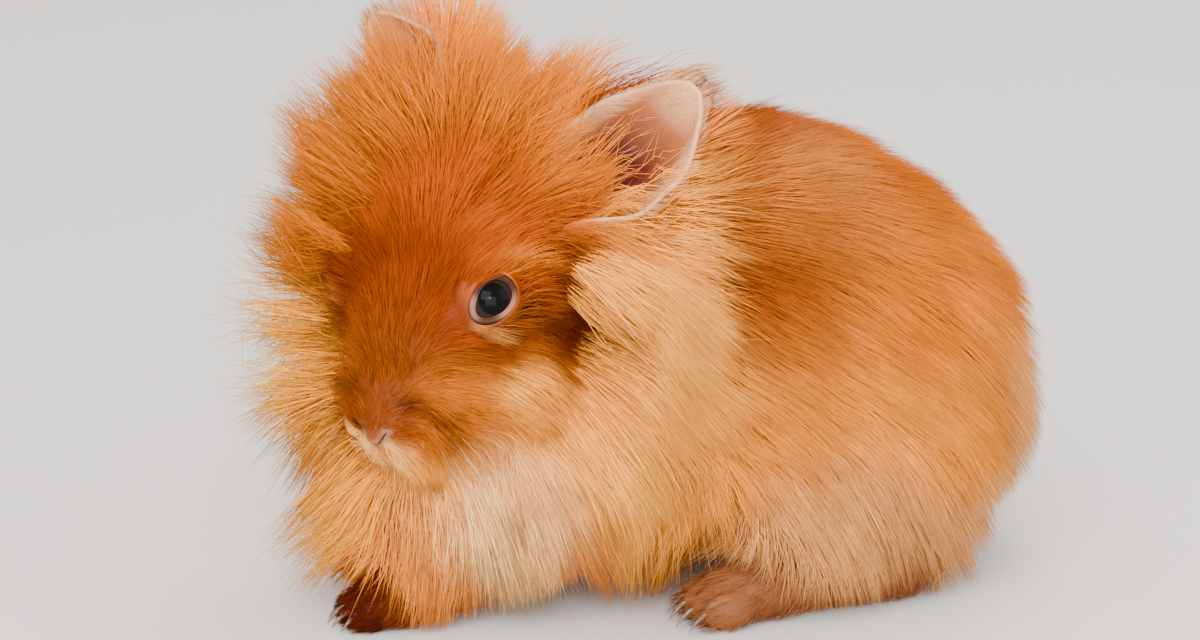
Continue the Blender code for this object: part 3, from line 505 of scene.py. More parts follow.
def egg(centre, radii, axes=None, segments=32, rings=20):
    """An egg at its place, with its radii along the given axes."""
    deselect()
    turn = axes.to_euler() if axes is not None else (0, 0, 0)
    bpy.ops.mesh.primitive_uv_sphere_add(
        segments=segments, ring_count=rings, radius=1, location=centre, rotation=turn, scale=radii
    )
    bpy.ops.object.transform_apply(location=True, rotation=True, scale=True)
    return bpy.context.object


def head_egg(place, radii, less=0.0, **fineness):
    return egg(on_head(*place), mm(*radii) - ALL_ROUND * less, HEAD_AXES, **fineness)


def cut_away(obj, cutters):
    """Takes the cutters out of an object, and removes them."""
    cutter = joined(cutters, "cutter") if len(cutters) > 1 else cutters[0]
    apply_modifier(obj, "BOOLEAN", operation="DIFFERENCE", object=cutter, solver="MANIFOLD")
    bpy.data.objects.remove(cutter)


def mesh_object(name, points, faces):
    mesh = bpy.data.meshes.new(name)
    mesh.from_pydata([tuple(point) for point in points], [], faces)
    mesh.update()
    made = bpy.data.objects.new(name, mesh)
    bpy.context.scene.collection.objects.link(made)
    return made


def face_outwards(obj):
    select(obj)
    bpy.ops.object.mode_set(mode="EDIT")
    bpy.ops.mesh.select_all(action="SELECT")
    bpy.ops.mesh.normals_make_consistent(inside=False)
    bpy.ops.object.mode_set(mode="OBJECT")


def put_in_order(obj):
    """Sorts the points and triangles of an object by place, as cutting leaves them in any order."""
    mesh = obj.data
    places = read(mesh.vertices, "co", 3)
    order = np.lexsort(places.T)
    rank = np.empty(len(order), np.int32)
    rank[order] = np.arange(len(order))
    corners = rank[read(mesh.loops, "vertex_index", 1, np.int32).reshape(-1, 3)]
    first = corners.argmin(1)[:, None]
    corners = np.take_along_axis(corners, (first + np.arange(3)) % 3, 1)
    corners = corners[np.lexsort(corners.T)]
    sorted_mesh = bpy.data.meshes.new(obj.name)
    sorted_mesh.from_pydata(places[order].tolist(), [], corners.tolist())
    obj.data = sorted_mesh
    bpy.data.meshes.remove(mesh)
    sorted_mesh.name = obj.name


def flattened(way, normal):
    return (way - normal * way.dot(normal)).normalized()


def eye_of(side):
    """Centre, radius and axes of an eye, its third axis the way that it looks."""
    low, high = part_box("eye_" + side)
    sign = SIDES[side]
    left, along, out = EYE_LOOKS
    look = (LEFT * left * sign + ALONG * along + OUT * out).normalized()
    tall = flattened(ALONG, look)
    axes = Matrix((tall.cross(look), tall, look)).transposed()
    return (low + high) / 2 - LEFT * 0.0006 * sign, (high - low).x / 2 * 1.02, axes


def bare_lid(across, tall):
    """How bare the lid is on each side of the eye: at the back, and at the foot of the front."""
    turn = np.arctan2(tall, across)
    behind_eye = np.exp(-(turn / 0.75) ** 4)
    foot = np.exp(-((turn + 2.25) / 0.55) ** 4)
    return np.maximum(behind_eye, foot)


def lid_line(turn, out, sign):
    """A point of the opening between the lids, in the eye's own two axes."""
    wide = (LID_HALF_WIDTH * (1 + LID_POINTED * math.sin(turn)) + out) * math.cos(turn)
    tall = (LID_HALF_HEIGHT + out) * math.sin(turn)
    across = wide * math.cos(LID_LEAN) + tall * math.sin(LID_LEAN)
    return across * sign, tall * math.cos(LID_LEAN) - wide * math.sin(LID_LEAN)


# Looks


def rgba(colour):
    return (*colour, 1.0)


def wired(tree, node, inputs):
    """Sets each named input of a node to a value, or links it to the output of another node."""
    for name, value in inputs.items():
        if isinstance(value, bpy.types.NodeSocket):
            tree.links.new(value, node.inputs[name])
        else:
            node.inputs[name].default_value = value
    return node


def add_node(tree, kind, inputs=None, **settings):
    node = tree.nodes.new("ShaderNode" + kind)
    for name, value in settings.items():
        setattr(node, name, value)
    return wired(tree, node, inputs or {})


def new_material(name, roughness, specular):
    """A new material, its nodes, its shader and the places of the object that wears it."""
    made = bpy.data.materials.new(name)
    made.use_nodes = True
    tree = made.node_tree
    inputs = {"Roughness": roughness, "Specular IOR Level": specular}
    shader = wired(tree, tree.nodes["Principled BSDF"], inputs)
    return made, tree, shader, add_node(tree, "TexCoord").outputs["Object"]


def mottled(tree, noise, least, most):
    """The painted colours, made darker and brighter by a noise."""
    spread = add_node(tree, "MapRange", {"Value": noise, "To Min": least, "To Max": most})
    tint = add_node(tree, "Attribute", attribute_name="paint")
    colours = {"Factor": 1, "A": tint.outputs["Color"], "B": spread.outputs["Result"]}
    return add_node(tree, "Mix", colours, data_type="RGBA", blend_type="MULTIPLY").outputs["Result"]


def ramp(tree, factor, *stops):
    """A colour that runs through the given stops, each a position and a colour."""
    node = add_node(tree, "ValToRGB", {"Fac": factor})
    elements = node.color_ramp.elements
    first, *between, last = stops
    for k, (position, colour) in enumerate((first, last)):
        elements[k].position, elements[k].color = position, rgba(colour)
    for position, colour in between:
        elements.new(position).color = rgba(colour)
    return node.outputs["Color"]


def grained(name, roughness, specular, scale, *stops):
    """A finish whose colour wanders along a ramp with a noise."""
    made, tree, shader, place = new_material(name, roughness, specular)
    grain = add_node(tree, "TexNoise", {"Vector": place, "Scale": scale})
    wired(tree, shader, {"Base Color": ramp(tree, grain.outputs["Fac"], *stops)})
    return made


def coat_material():
    """A soft finish for all the coat, from the painted colours, mottled finely."""
    found = bpy.data.materials.get("coat")
    if found:
        return found
    made, tree, shader, place = new_material("coat", 0.65, 0.02)
    noise = add_node(tree, "TexNoise", {"Vector": place, "Scale": 260, "Detail": 3})
    wired(tree, shader, {"Base Color": mottled(tree, noise.outputs["Fac"], 0.86, 1.14)})
    return made


def skin_material():
    """Short hair lying on the skin: fine streaks along the way of the coat, in colour and relief."""
    made, tree, shader, place = new_material("skin", 0.62, 0.2)
    way = add_node(tree, "Attribute", attribute_name="lie").outputs["Vector"]
    along = add_node(tree, "VectorMath", {0: place, 1: way}, operation="DOT_PRODUCT")
    run = add_node(tree, "VectorMath", {0: way, "Scale": along.outputs["Value"]}, operation="SCALE")
    most = add_node(tree, "VectorMath", {0: run.outputs["Vector"], "Scale": 0.9}, operation="SCALE")
    pressed = add_node(tree, "VectorMath", {0: place, 1: most.outputs["Vector"]}, operation="SUBTRACT")
    noise = {"Vector": pressed.outputs["Vector"], "Scale": 2600, "Detail": 3}
    streaks = add_node(tree, "TexNoise", noise).outputs["Fac"]
    relief = add_node(tree, "Bump", {"Height": streaks, "Strength": 0.6, "Distance": 0.0003})
    colour = mottled(tree, streaks, 0.62, 1.3)
    wired(tree, shader, {"Base Color": colour, "Normal": relief.outputs["Normal"]})
    return made


# How the coat lies, read from the table at many places at once

LIE_PLACES = np.array([tuple(row[0]) for row in COAT_LIE])
LIE_WAYS = np.array([tuple(Vector(row[1]).normalized()) for row in COAT_LIE])
LIE_SIZES = np.array([row[2:5] for row in COAT_LIE]) * 0.001
LIE_ROOTS = np.array([TONES[row[5]][0] for row in COAT_LIE])
LIE_TIPS = np.array([TONES[row[5]][1] for row in COAT_LIE])
MARK_AXES = np.array([tuple(LEFT), tuple(-FORWARD), tuple(UP)]).T
CHUNK = 8000
# Up to the first length a strand is shaded with the skin; the longer it is, the more with the form
SHORT_STRAND, LONG_STRAND = 0.010, 0.022
# How much strands, small tufts and large tufts vary in brightness
BRIGHT_VARIES = (0.11, 0.11, 0.06)
OFF_FLOOR = 0.0006
# Wavelengths and strengths of the coat's drift
SWAYS = ((0.034, 0.5), (0.016, 0.6), (0.008, 0.4))
# Strands to a large tuft
LARGE_TUFT = 60
# How much wider than it is thick a strand is, and the size of its patch on the unwrap
STRAND_WIDER, STRAND_FLATTER = 1.25, 0.8
STRAND_PATCH = 0.0015


def shares_of(places):
    """For each place, the weight of each row of the table, by how near the row's place is."""
    weights = np.empty((len(places), len(LIE_PLACES)))
    for start in range(0, len(places), CHUNK):
        part = slice(start, start + CHUNK)
        away = ((places[part, None, :] - LIE_PLACES[None]) ** 2).sum(2)
        weights[part] = 1 / (away + 1.5e-5) ** 2
    return weights / weights.sum(1, keepdims=True)


def unit(vectors):
    return vectors / np.maximum(np.linalg.norm(vectors, axis=-1, keepdims=True), 1e-12)


def head_places(places):
    """Places as millimetres to the head's left, back from the nose tip and up."""
    return (places - np.array(NOSE_TIP)) @ MARK_AXES * 1000


def tones_at(places):
    """Root and tip colours of the coat at each place, with the small marks laid over."""
    shares = shares_of(places) ** 1.7
    shares /= shares.sum(1, keepdims=True)
    roots, tips = shares @ LIE_ROOTS, shares @ LIE_TIPS
    seen = head_places(places)
    for centre, radii, tone, most in MARKS:
        away = (((seen - np.array(centre)) / np.array(radii)) ** 2).sum(1)
        share = (most * np.exp(-away ** 1.5))[:, None]
        roots = roots * (1 - share) + np.array(TONES[tone][0]) * share
        tips = tips * (1 - share) + np.array(TONES[tone][1]) * share
    return roots, tips


def paint(obj, colours):
    """Writes one colour for each point of an object."""
    layer = obj.data.color_attributes.new("paint", "FLOAT_COLOR", "POINT")
    solid = np.ones((len(colours), 4), np.float32)
    solid[:, :3] = colours
    layer.data.foreach_set("color", solid.ravel())


def normals_of(mesh):
    return read(mesh.vertex_normals, "vector", 3).astype(float)


def points_of(mesh):
    return read(mesh.vertices, "co", 3).astype(float)


# The skin


def toe_masses(plan, sign):
    middle = (TOE_COUNT - 1) / 2
    for i in range(TOE_COUNT):
        drawn_back = 1.1 * abs(i - middle) ** 1.3 + plan["back"][sign]
        centre = plan["first"] + mm(plan["apart"] * i, drawn_back, 0)
        yield Vector((centre.x * sign, centre.y, centre.z)), plan["radii"]


def ear_half_width(share, width):
    if share > EAR_WIDEST:
        past = (share - EAR_WIDEST) / (1 - EAR_WIDEST)
        return width / 2 * max(0.0, 1 - past ** 1.9) ** 0.72
    return width / 2 * (0.45 + 0.55 * math.sin(math.pi / 2 * max(share, 0) / EAR_WIDEST))


def ear_frame(side):
    """An ear's root, length and axes: along it, across it, and the way that its cup faces."""
    root, tip = EAR_ROOTS[side], EAR_TIPS[side]
    along = (tip - root).normalized()
    facing = flattened(EAR_FACES[side], along)
    return root, (tip - root).length, Matrix((along, along.cross(facing), facing)).transposed()


def ear_places(places, side, width):
    """How far along an ear each place is, its share of the way out to the rim, and its height."""
    root, length, axes = ear_frame(side)
    offset = (places - np.array(root)) @ np.array(axes)
    share = offset[..., 0] / length
    stops = np.linspace(-0.3, 1.2, 151)
    widths = np.array([max(ear_half_width(min(stop, 1), width), 0.0006) for stop in stops])
    return share, offset[..., 1] / np.interp(share, stops, widths), offset[..., 2]


def ear_shell(side, width, wall):
    """The leaf-shaped cup of an ear: a grid curved to its place, given its wall and rounded."""
    root, length, axes = ear_frame(side)
    along, across, facing = axes.col
    rows, columns = 26, 17
    deselect()
    bpy.ops.mesh.primitive_grid_add(x_subdivisions=columns - 1, y_subdivisions=rows - 1, size=2)
    ear = bpy.context.object
    for point in ear.data.vertices:
        aside, share = point.co.x, EAR_FOOT + (0.992 - EAR_FOOT) * (point.co.y + 1) / 2
        half_width = ear_half_width(share, width)
        wrap = math.radians(52 + 88 * min(1 - share, 1) ** 2.2)
        radius = half_width / math.sin(min(wrap, math.pi / 2))
        lean = 0.10 * length * math.sin(math.pi * max(share, 0) * 0.9)
        curl = 0.0006 * math.sin(share * 17 + aside * 3) * abs(aside) ** 3
        turn = wrap * aside
        centre = root + along * length * share - facing * lean
        reach = radius + curl
        sunk = math.cos(turn) * reach - radius * 0.5
        point.co = centre + across * math.sin(turn) * reach - facing * sunk
    apply_modifier(ear, "SOLIDIFY", thickness=wall, offset=-1.0)
    apply_modifier(ear, "SUBSURF", levels=1, render_levels=1)
    ear.name = "ear_" + side
    face_outwards(ear)
    return ear


def groove(start, end):
    """A thin blade that cuts one fold of the nose."""
    first, last = on_head(*start), on_head(*end)
    run = (last - first).normalized()
    deep = flattened(ALONG, run)
    axes = Matrix((run, deep, run.cross(deep))).transposed()
    return egg((first + last) / 2, Vector(((last - first).length / 2, 0.0014, 0.00028)), axes, 24, 12)


def from_folds(places):
    """How far each place is from the nearest fold of the nose."""
    nearest = np.full(len(places), 1.0)
    for start, end in NOSE_FOLDS:
        first, run = np.array(on_head(*start)), np.array(on_head(*end) - on_head(*start))
        share = np.clip(((places - first) @ run) / (run @ run), 0, 1)
        nearest = np.minimum(nearest, np.linalg.norm(places - first - share[:, None] * run, axis=1))
    return nearest


def lids(side):
    """The lids of an eye: rings from inside the rim, round it and back under the face."""
    centre, radius, axes = eye_of(side)
    sign, count = SIDES[side], 64
    points, faces = [], []
    for out, rise in LID_PROFILE:
        for i in range(count):
            wide, tall = lid_line(2 * math.pi * i / count, out, sign)
            reach = radius + LID_ROOM + rise
            off = min(math.hypot(wide, tall) / reach, 1.45)
            turned = Vector((wide, tall, 0)).normalized()
            local = turned * math.sin(off) + Vector((0, 0, math.cos(off)))
            points.append(centre + axes @ local * reach)
    for k in range(len(LID_PROFILE) - 1):
        for i in range(count):
            after = (i + 1) % count
            corners = (k * count + i, (k + 1) * count + i, (k + 1) * count + after, k * count + after)
            faces.append(corners[::sign])
    return mesh_object("lids_" + side, points, faces)


class RABBIT_OT_skin(bpy.types.Operator):
    """Models one skin over the head, body, legs, feet, tail and ears, with the lids on it"""

    bl_idname = "rabbit.skin"
    bl_label = "Model the skin"

    def execute(self, context):
        sizes = context.scene.rabbit_skin
        thin, foot = ALL_ROUND * sizes.body_depth, ALL_ROUND * sizes.foot_depth
        masses = [egg(centre, radii - thin) for centre, radii in TORSO_MASSES]
        masses += [egg(centre, radii - foot) for centre, radii in FOOT_MASSES]
        masses += [head_egg(place, radii, sizes.face_depth) for place, radii in HEAD_MASSES]
        masses += [head_egg(place, radii, sizes.foot_depth) for place, radii in MUZZLE_MASSES]
        for plan in (HIND_TOES, FORE_TOES):
            for sign in (1, -1):
                toes = toe_masses(plan, sign)
                masses += [egg(centre, radii - foot * 0.6, None, 16, 12) for centre, radii in toes]
        for side in SIDES:
            centre, radius, axes = eye_of(side)
            masses.append(egg(centre, ALL_ROUND * (radius + sizes.lid), axes))
        skin = joined(masses, "skin")
        apply_modifier(skin, "REMESH", mode="VOXEL", voxel_size=sizes.grid)
        apply_modifier(skin, "SMOOTH", factor=0.5, iterations=4)
        cutters = [groove(start, end) for start, end in NOSE_FOLDS] + [head_egg(*MOUTH, 0)]
        for side, sign in SIDES.items():
            centre, radius, axes = eye_of(side)
            cutters.append(egg(centre, ALL_ROUND * (radius + LID_ROOM), axes, 48, 32))
            opening = Vector((LID_HALF_WIDTH + LID_SINK, LID_HALF_HEIGHT + LID_SINK, radius))
            leaning = axes @ Matrix.Rotation(-LID_LEAN * sign, 3, "Z")
            cutters.append(egg(centre + axes.col[2] * radius * 0.8, opening, leaning, 48, 32))
        for cutter in cutters:
            cut_away(skin, [cutter])
        apply_modifier(skin, "TRIANGULATE")
        put_in_order(skin)
        apply_modifier(skin, "DECIMATE", ratio=min(1.0, FLESH_FACES / len(skin.data.polygons)))
        flesh = len(skin.data.vertices)
        ears = [ear_shell(side, sizes.ear_width, sizes.ear_wall) for side in SIDES]
        rims = [lids(side) for side in SIDES]
        skin = joined([skin] + ears + rims, "skin")
        apply_modifier(skin, "TRIANGULATE")
        select(skin)
        bpy.ops.object.shade_smooth()
        self.unwrap(skin)
        self.colour(skin, flesh, sizes)
        skin.data.materials.clear()
        skin.data.materials.append(skin_material())
        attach(skin, "root")
        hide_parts(*[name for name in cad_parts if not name.startswith("eye_")])
        return {"FINISHED"}

    def unwrap(self, skin):
        """An unwrap of the skin's own shape, which the coat's strands take their places on."""
        select(skin)
        bpy.ops.object.mode_set(mode="EDIT")
        bpy.ops.mesh.select_all(action="SELECT")
        bpy.ops.uv.smart_project(angle_limit=math.radians(70), island_margin=0.001)
        bpy.ops.object.mode_set(mode="OBJECT")
        skin.data.uv_layers[0].name = "OFBake"

    def colour(self, skin, flesh, sizes):
        """The coat's own colours on the flesh, and bare skin on lids, nose and inside the ears, with painted
        shade deep in the ears' cups.
        """
        places = points_of(skin.data)
        roots, tips = tones_at(places)
        colours = roots * 0.55 + tips * 0.45
        folds = np.clip(2 - from_folds(places) / FOLD_BARE, 0, 1)[:, None]
        colours = colours * (1 - folds) + np.array(sizes.bare) * folds
        facing = normals_of(skin.data)
        joined_on = np.arange(len(places)) >= flesh
        for side, sign in SIDES.items():
            centre, radius, axes = eye_of(side)
            offset = (places - np.array(centre)) @ np.array(axes)
            near = (np.linalg.norm(offset, axis=1) < radius + 0.003) & (offset[:, 2] > 0) & joined_on
            lid = bare_lid(offset[:, 0] * sign, offset[:, 1])[:, None]
            lid = np.array(sizes.bare) * lid + np.array(sizes.lid_dark) * (1 - lid)
            colours[near] = lid[near]
            share, out, height = ear_places(places, side, sizes.ear_width)
            cup = np.array(ear_frame(side)[2])[:, 2]
            out, height = np.abs(out), np.abs(height)
            inner = joined_on & (share > 0.12) & (out < 1.6) & (height < 0.02) & (facing @ cup > -0.1)
            rim = np.clip((np.maximum(out, (share - 0.25) / 0.72) - 0.72) / 0.25, 0, 1)[:, None]
            # Painted shade: the skin darkens towards the base and the middle of the cup, where its hollow
            # lies in shade
            deep = np.clip((0.95 - share) / 0.40, 0, 1)[:, None] * np.clip(1.35 - out, 0, 1)[:, None]
            bare = np.array(sizes.ear_inside) * (1 - deep) + np.array(sizes.ear_cup_shade) * deep
            bare = bare * (1 - rim) + np.array(TONES["ear"][1]) * rim
            colours[inner] = bare[inner]
        paint(skin, colours)
        way = unit(shares_of(places) @ LIE_WAYS)
        layer = skin.data.attributes.new("lie", "FLOAT_VECTOR", "POINT")
        layer.data.foreach_set("vector", way.astype(np.float32).ravel())


# The coat


def skin_arrays():
    """Corners, normals, centres, areas and unwrapped corners of the skin's triangles."""
    mesh = bpy.data.objects["skin"].data
    corners = read(mesh.loops, "vertex_index", 1, np.int32).reshape(-1, 3)
    triangles = points_of(mesh)[corners]
    crossed = np.cross(triangles[:, 1] - triangles[:, 0], triangles[:, 2] - triangles[:, 0])
    return {
        "triangles": triangles,
        "normals": normals_of(mesh)[corners],
        "facing": unit(crossed),
        "centres": triangles.mean(1),
        "areas": np.linalg.norm(crossed, axis=1) / 2,
        "flat": read(mesh.uv_layers["OFBake"].data, "uv", 2).reshape(-1, 3, 2).astype(float),
    }


def behind(places, cut):
    place, way = cut
    return (places - np.array(place)) @ np.array(way) > 0


def part_faces(skin, width):
    """For each piece of the coat, how thickly it is rooted on each triangle of the skin."""
    centres, facing = skin["centres"], skin["facing"]
    left, back, up = head_places(centres).T
    ears = np.zeros(len(centres), bool)
    hair, rims = np.zeros(len(centres)), np.zeros(len(centres))
    for side in SIDES:
        share, out, height = ear_places(centres, side, width)
        on_ear = (share > 0.16) & (share < 1.1) & (np.abs(out) < 1.7) & (np.abs(height) < 0.02)
        toward = facing @ np.array(ear_frame(side)[2])[:, 2]
        outer = on_ear & (toward < 0.0)
        ears |= on_ear
        hair[outer] = 1.6 - share[outer]
        inner = on_ear & (toward >= -0.3) & (share > 0.3)
        rims[inner] = np.clip((np.maximum(np.abs(out), share / 0.97) - 0.80) / 0.15, 0.02, 1)[inner]
    head = ~behind(centres, HEAD_CUT) & ~ears
    torso = behind(centres, TORSO_CUT) & ~head & ~ears
    neck = ~head & ~torso & ~ears
    low = centres[:, 2] < 0.018
    hind = low & (np.abs(centres[:, 0]) > 0.031) & (centres[:, 1] > -0.020) & ~head
    fore = (centres[:, 2] < 0.030) & (centres[:, 1] < -0.050) & (np.abs(centres[:, 0]) < 0.028) & ~head
    feet = hind | fore
    torso &= ~feet
    neck &= ~feet
    above = facing[:, 2] > -0.75
    face = head & (up <= 44) & (((up > 24) & (back < 34)) | ((up <= 24) & (back < 17)))
    crown = head & (up > 44)
    cheek = head & ~face & ~crown
    mane = neck & (centres[:, 2] > 0.062)
    chest = neck & ~mane
    top = torso & (facing[:, 2] > 0.55)
    side = torso & ~top & above
    found = {
        "coat_face": face,
        "coat_crown": crown,
        "coat_cheek_left": cheek & (left >= 0),
        "coat_cheek_right": cheek & (left < 0),
        "coat_mane_left": mane & (centres[:, 0] >= 0.002),
        "coat_mane_right": mane & (centres[:, 0] < 0.002),
        "coat_chest": chest & above,
        "coat_back": top,
        "coat_side_left": side & (centres[:, 0] >= 0),
        "coat_side_right": side & (centres[:, 0] < 0),
        "coat_feet": feet & (centres[:, 2] > 0.0012),
    }
    found = {name: mask.astype(float) for name, mask in found.items()}
    found["coat_ears"] = hair
    found["coat_ear_rims"] = rims
    return found


def scatter(skin, thickly, count, draw):
    """Random places on the skin, with their normals and their places on the unwrap."""
    weights = skin["areas"] * thickly
    chosen = draw.choice(len(weights), count, p=weights / weights.sum())
    first, second = np.sort(draw.random((2, count)), axis=0)
    shares = np.stack([first, second - first, 1 - second], 1)[:, :, None]
    places = (skin["triangles"][chosen] * shares).sum(1)
    normals = unit((skin["normals"][chosen] * shares).sum(1))
    flat = (skin["flat"][chosen] * shares).sum(1)
    return places, normals, flat


def hold_off(tree, points, low, high):
    """Points moved along the skin's normal, so that each stands off it by low to high."""
    moved = points.copy()
    for i, point in enumerate(points):
        near, normal, _, _ = tree.find_nearest(point)
        height = (Vector(point) - near).dot(normal)
        wanted = min(max(height, low[i]), high[i])
        if wanted != height:
            moved[i] = Vector(point) + normal * (wanted - height)
    return moved


def sway(places, draw):
    """A smooth random drift of the coat's way, the same for strands that are near each other."""
    drift = np.zeros_like(places)
    for wavelength, most in SWAYS:
        for _ in range(3):
            wave = unit(draw.normal(size=(1, 3)))[0] * (2 * math.pi / wavelength)
            swing = most * np.sin(places @ wave + draw.uniform(0, 6.3))[:, None]
            drift += swing * unit(draw.normal(size=(1, 3)))
    return drift


def spines(roots, normals, rings, coat, tree, draw, seed, rims=False):
    """The points along each strand, from its sunk root to its tip, and its share at each."""
    shares = shares_of(roots)
    length, rise, loose = (shares @ LIE_SIZES).T
    count = len(roots)
    if rims:
        length, rise, loose = (np.full(count, size * 0.001) for size in RIM_HAIR)
    wild = draw.random(count) < coat.wild
    length = length * (1 + coat.varies * draw.uniform(-1, 1, count)) * np.where(wild, 1.2, 1)
    stray = draw.normal(0, coat.astray, (count, 3)) * np.where(wild, 3.0, 1)[:, None]
    stops = np.linspace(0, 1, rings + 1)[1:]
    along = unit(shares @ LIE_WAYS + stray)
    along = unit(along - normals * (along * normals).sum(1, keepdims=True) * 0.8)
    tilt = np.clip(rise / length, 0.12, 0.8)[:, None]
    along = unit(along + normals * tilt)
    spine = [roots - normals * np.minimum(length * 0.08, 0.0006)[:, None]]
    point, done = roots, 0.0
    for stop in stops:
        drift = sway(point, np.random.default_rng(seed))
        way = unit(shares_of(point) @ LIE_WAYS + stray + drift * coat.sway)
        along = unit(along * 0.5 + way * 0.5)
        point = point + along * (length * (stop - done))[:, None]
        point[:, 2] -= loose * 0.25 * (stop ** 2 - done ** 2)
        low = rise * stop ** 0.85 * (0.70 + 0.30 * draw.random(count))
        high = rise * stop + loose * stop * np.where(wild, 1.5, 1)
        point = hold_off(tree, point, low, np.maximum(high, low))
        done = stop
        spine.append(point.copy())
    return np.stack(spine, 1), np.concatenate([[0.0], stops]), length


def gathered(spine, roots, stops, per_clump, gather, draw):
    """Strands drawn together towards the tips of their tufts, and the tuft that each is in."""
    count = len(roots)
    middles = draw.choice(count, max(4, count // per_clump), replace=False)
    tree = KDTree(len(middles))
    for i, middle in enumerate(middles):
        tree.insert(roots[middle], i)
    tree.balance()
    tuft = np.array([tree.find(place)[1] for place in roots])
    owner = middles[tuft]
    pull = gather * (0.55 + 0.45 * draw.random(count))
    for k, stop in enumerate(stops):
        offset = (roots - roots[owner]) * 0.2
        goal = spine[owner, k] + offset
        spine[:, k] += (goal - spine[:, k]) * (pull * stop ** 1.3)[:, None]
    return spine, tuft


def outward(places):
    """The way out of the coat's whole form, from the body's inner line to each place."""
    nearest, least = np.zeros_like(places), np.full(len(places), np.inf)
    for start, end in zip(INNER_LINE[:-1], INNER_LINE[1:]):
        first, along = np.array(start), np.array(end - start)
        share = np.clip((places - first) @ along / (along @ along), 0, 1)[:, None]
        point = first + along * share
        away = np.linalg.norm(places - point, axis=1)
        nearest[away < least] = point[away < least]
        least = np.minimum(least, away)
    return unit(places - nearest)


def strand_mesh(name, spine, stops, normals, thickness, roots_at, root_colour, tip_colour, bright):
    """One joined mesh of closed three-sided strands, painted and with its places on the unwrap."""
    count, rings = len(spine), len(stops) - 1
    before = np.concatenate([spine[:, :1], spine[:, :-1]], 1)
    after = np.concatenate([spine[:, 1:], spine[:, -1:]], 1)
    ahead = unit(after - before)
    run = unit(spine[:, -1] - spine[:, 0])
    level = np.cross(normals, run)
    clear = np.linalg.norm(level, axis=1, keepdims=True) > 0.15
    level = np.where(clear, level, np.cross(np.array(LEFT + UP), run))
    side = unit(level[:, None] - ahead * (ahead * level[:, None]).sum(2, keepdims=True))
    top = np.cross(ahead, side)
    swell = np.interp(stops[:-1], [0, 0.3, 0.7, 1], [0.75, 1.0, 0.72, 0.3])
    half = (thickness[:, None] / 2 * swell[None])[:, :, None]
    ringed = []
    for turn in np.radians([90, 210, 330]):
        out = side[:, :-1] * math.cos(turn) * STRAND_WIDER + top[:, :-1] * math.sin(turn) * STRAND_FLATTER
        ringed.append(spine[:, :-1] + half * out)
    ringed = np.stack(ringed, 2)
    per = rings * 3 + 1
    points = np.concatenate([ringed.reshape(count, rings * 3, 3), spine[:, -1:]], 1)
    quads = []
    for k in range(rings - 1):
        for j in range(3):
            other = (j + 1) % 3
            quads.append((k * 3 + j, k * 3 + other, k * 3 + 3 + other, k * 3 + 3 + j))
    last = (rings - 1) * 3
    tris = [(last + j, last + (j + 1) % 3, per - 1) for j in range(3)] + [(0, 2, 1)]
    quads, tris = np.array(quads).reshape(-1, 4), np.array(tris)
    starts = (np.arange(count) * per)[:, None, None]
    loops = np.concatenate([(starts + quads).reshape(count, -1), (starts + tris).reshape(count, -1)], 1)
    sizes = np.concatenate([np.full(len(quads), 4), np.full(len(tris), 3)])
    sizes = np.tile(sizes, count)
    mesh = bpy.data.meshes.new(name)
    mesh.vertices.add(count * per)
    mesh.vertices.foreach_set("co", points.astype(np.float32).ravel())
    mesh.loops.add(loops.size)
    mesh.loops.foreach_set("vertex_index", loops.astype(np.int32).ravel())
    mesh.polygons.add(len(sizes))
    mesh.polygons.foreach_set("loop_start", np.concatenate([[0], np.cumsum(sizes)[:-1]]).astype(np.int32))
    mesh.update(calc_edges=True)
    mesh.shade_smooth()
    made = bpy.data.objects.new(name, mesh)
    bpy.context.scene.collection.objects.link(made)

    share = np.concatenate([np.repeat(stops[:-1], 3), [1.0]])
    fade = (share ** 0.8)[None, :, None]
    colours = (root_colour[:, None] * (1 - fade) + tip_colour[:, None] * fade) * bright[:, None, None]
    paint(made, np.clip(colours.reshape(-1, 3), 0, 1))

    across = np.concatenate([np.tile([0.0, -1.0, 1.0], rings), [0.0]])
    patch = np.stack([across, share * 2 - 1], 1) * STRAND_PATCH
    flat = (roots_at[:, None] + patch[None]).reshape(-1, 2)
    layer = mesh.uv_layers.new(name="OFBake")
    layer.data.foreach_set("uv", flat[loops.ravel()].astype(np.float32).ravel())

    own = (ringed - spine[:, :-1, None]).reshape(count, rings * 3, 3)
    own = unit(np.concatenate([own, ahead[:, -1:]], 1))
    lying = 1 - (ahead * normals[:, None]).sum(2) ** 2
    lying = np.concatenate([np.repeat(lying[:, :-1], 3, axis=1), lying[:, -1:]], 1)[:, :, None]
    soft = own * (1 - 0.5 * lying) + normals[:, None] * 0.62 * lying
    turned = (soft * own).sum(2, keepdims=True)
    soft = unit((soft + own * np.maximum(0.40 - turned, 0)).reshape(-1, 3))
    mesh.normals_split_custom_set_from_vertices(soft.astype(np.float32))
    return made


def clear_of_face(spine, width):
    """Which strands stay off the open part of both eyes, the cups of the ears and the nose's folds."""
    keep = from_folds(spine[:, 0]) > FOLD_BARE
    for side, sign in SIDES.items():
        centre, radius, axes = eye_of(side)
        leaning = axes @ Matrix.Rotation(-LID_LEAN * sign, 3, "Z")
        offset = (spine - np.array(centre)) @ np.array(leaning)
        margin = 0.0001 + 0.0011 * bare_lid(offset[..., 0] * sign, offset[..., 1])
        wide, tall = offset[..., 0] / (LID_HALF_WIDTH + margin), offset[..., 1] / (LID_HALF_HEIGHT + margin)
        inside = wide ** 2 + tall ** 2 < 1
        near = (np.linalg.norm(offset, axis=2) < EYE_CLEAR[side]) & (offset[..., 2] > 0)
        keep &= ~(inside & near).any(1)
        share, out, height = ear_places(spine, side, width)
        before = (np.abs(out) < 0.95) & (share > EAR_OPEN[side]) & (share < 1.05)
        keep &= ~(before & (height > -0.0035) & (height < 0.03)).any(1)
    return keep


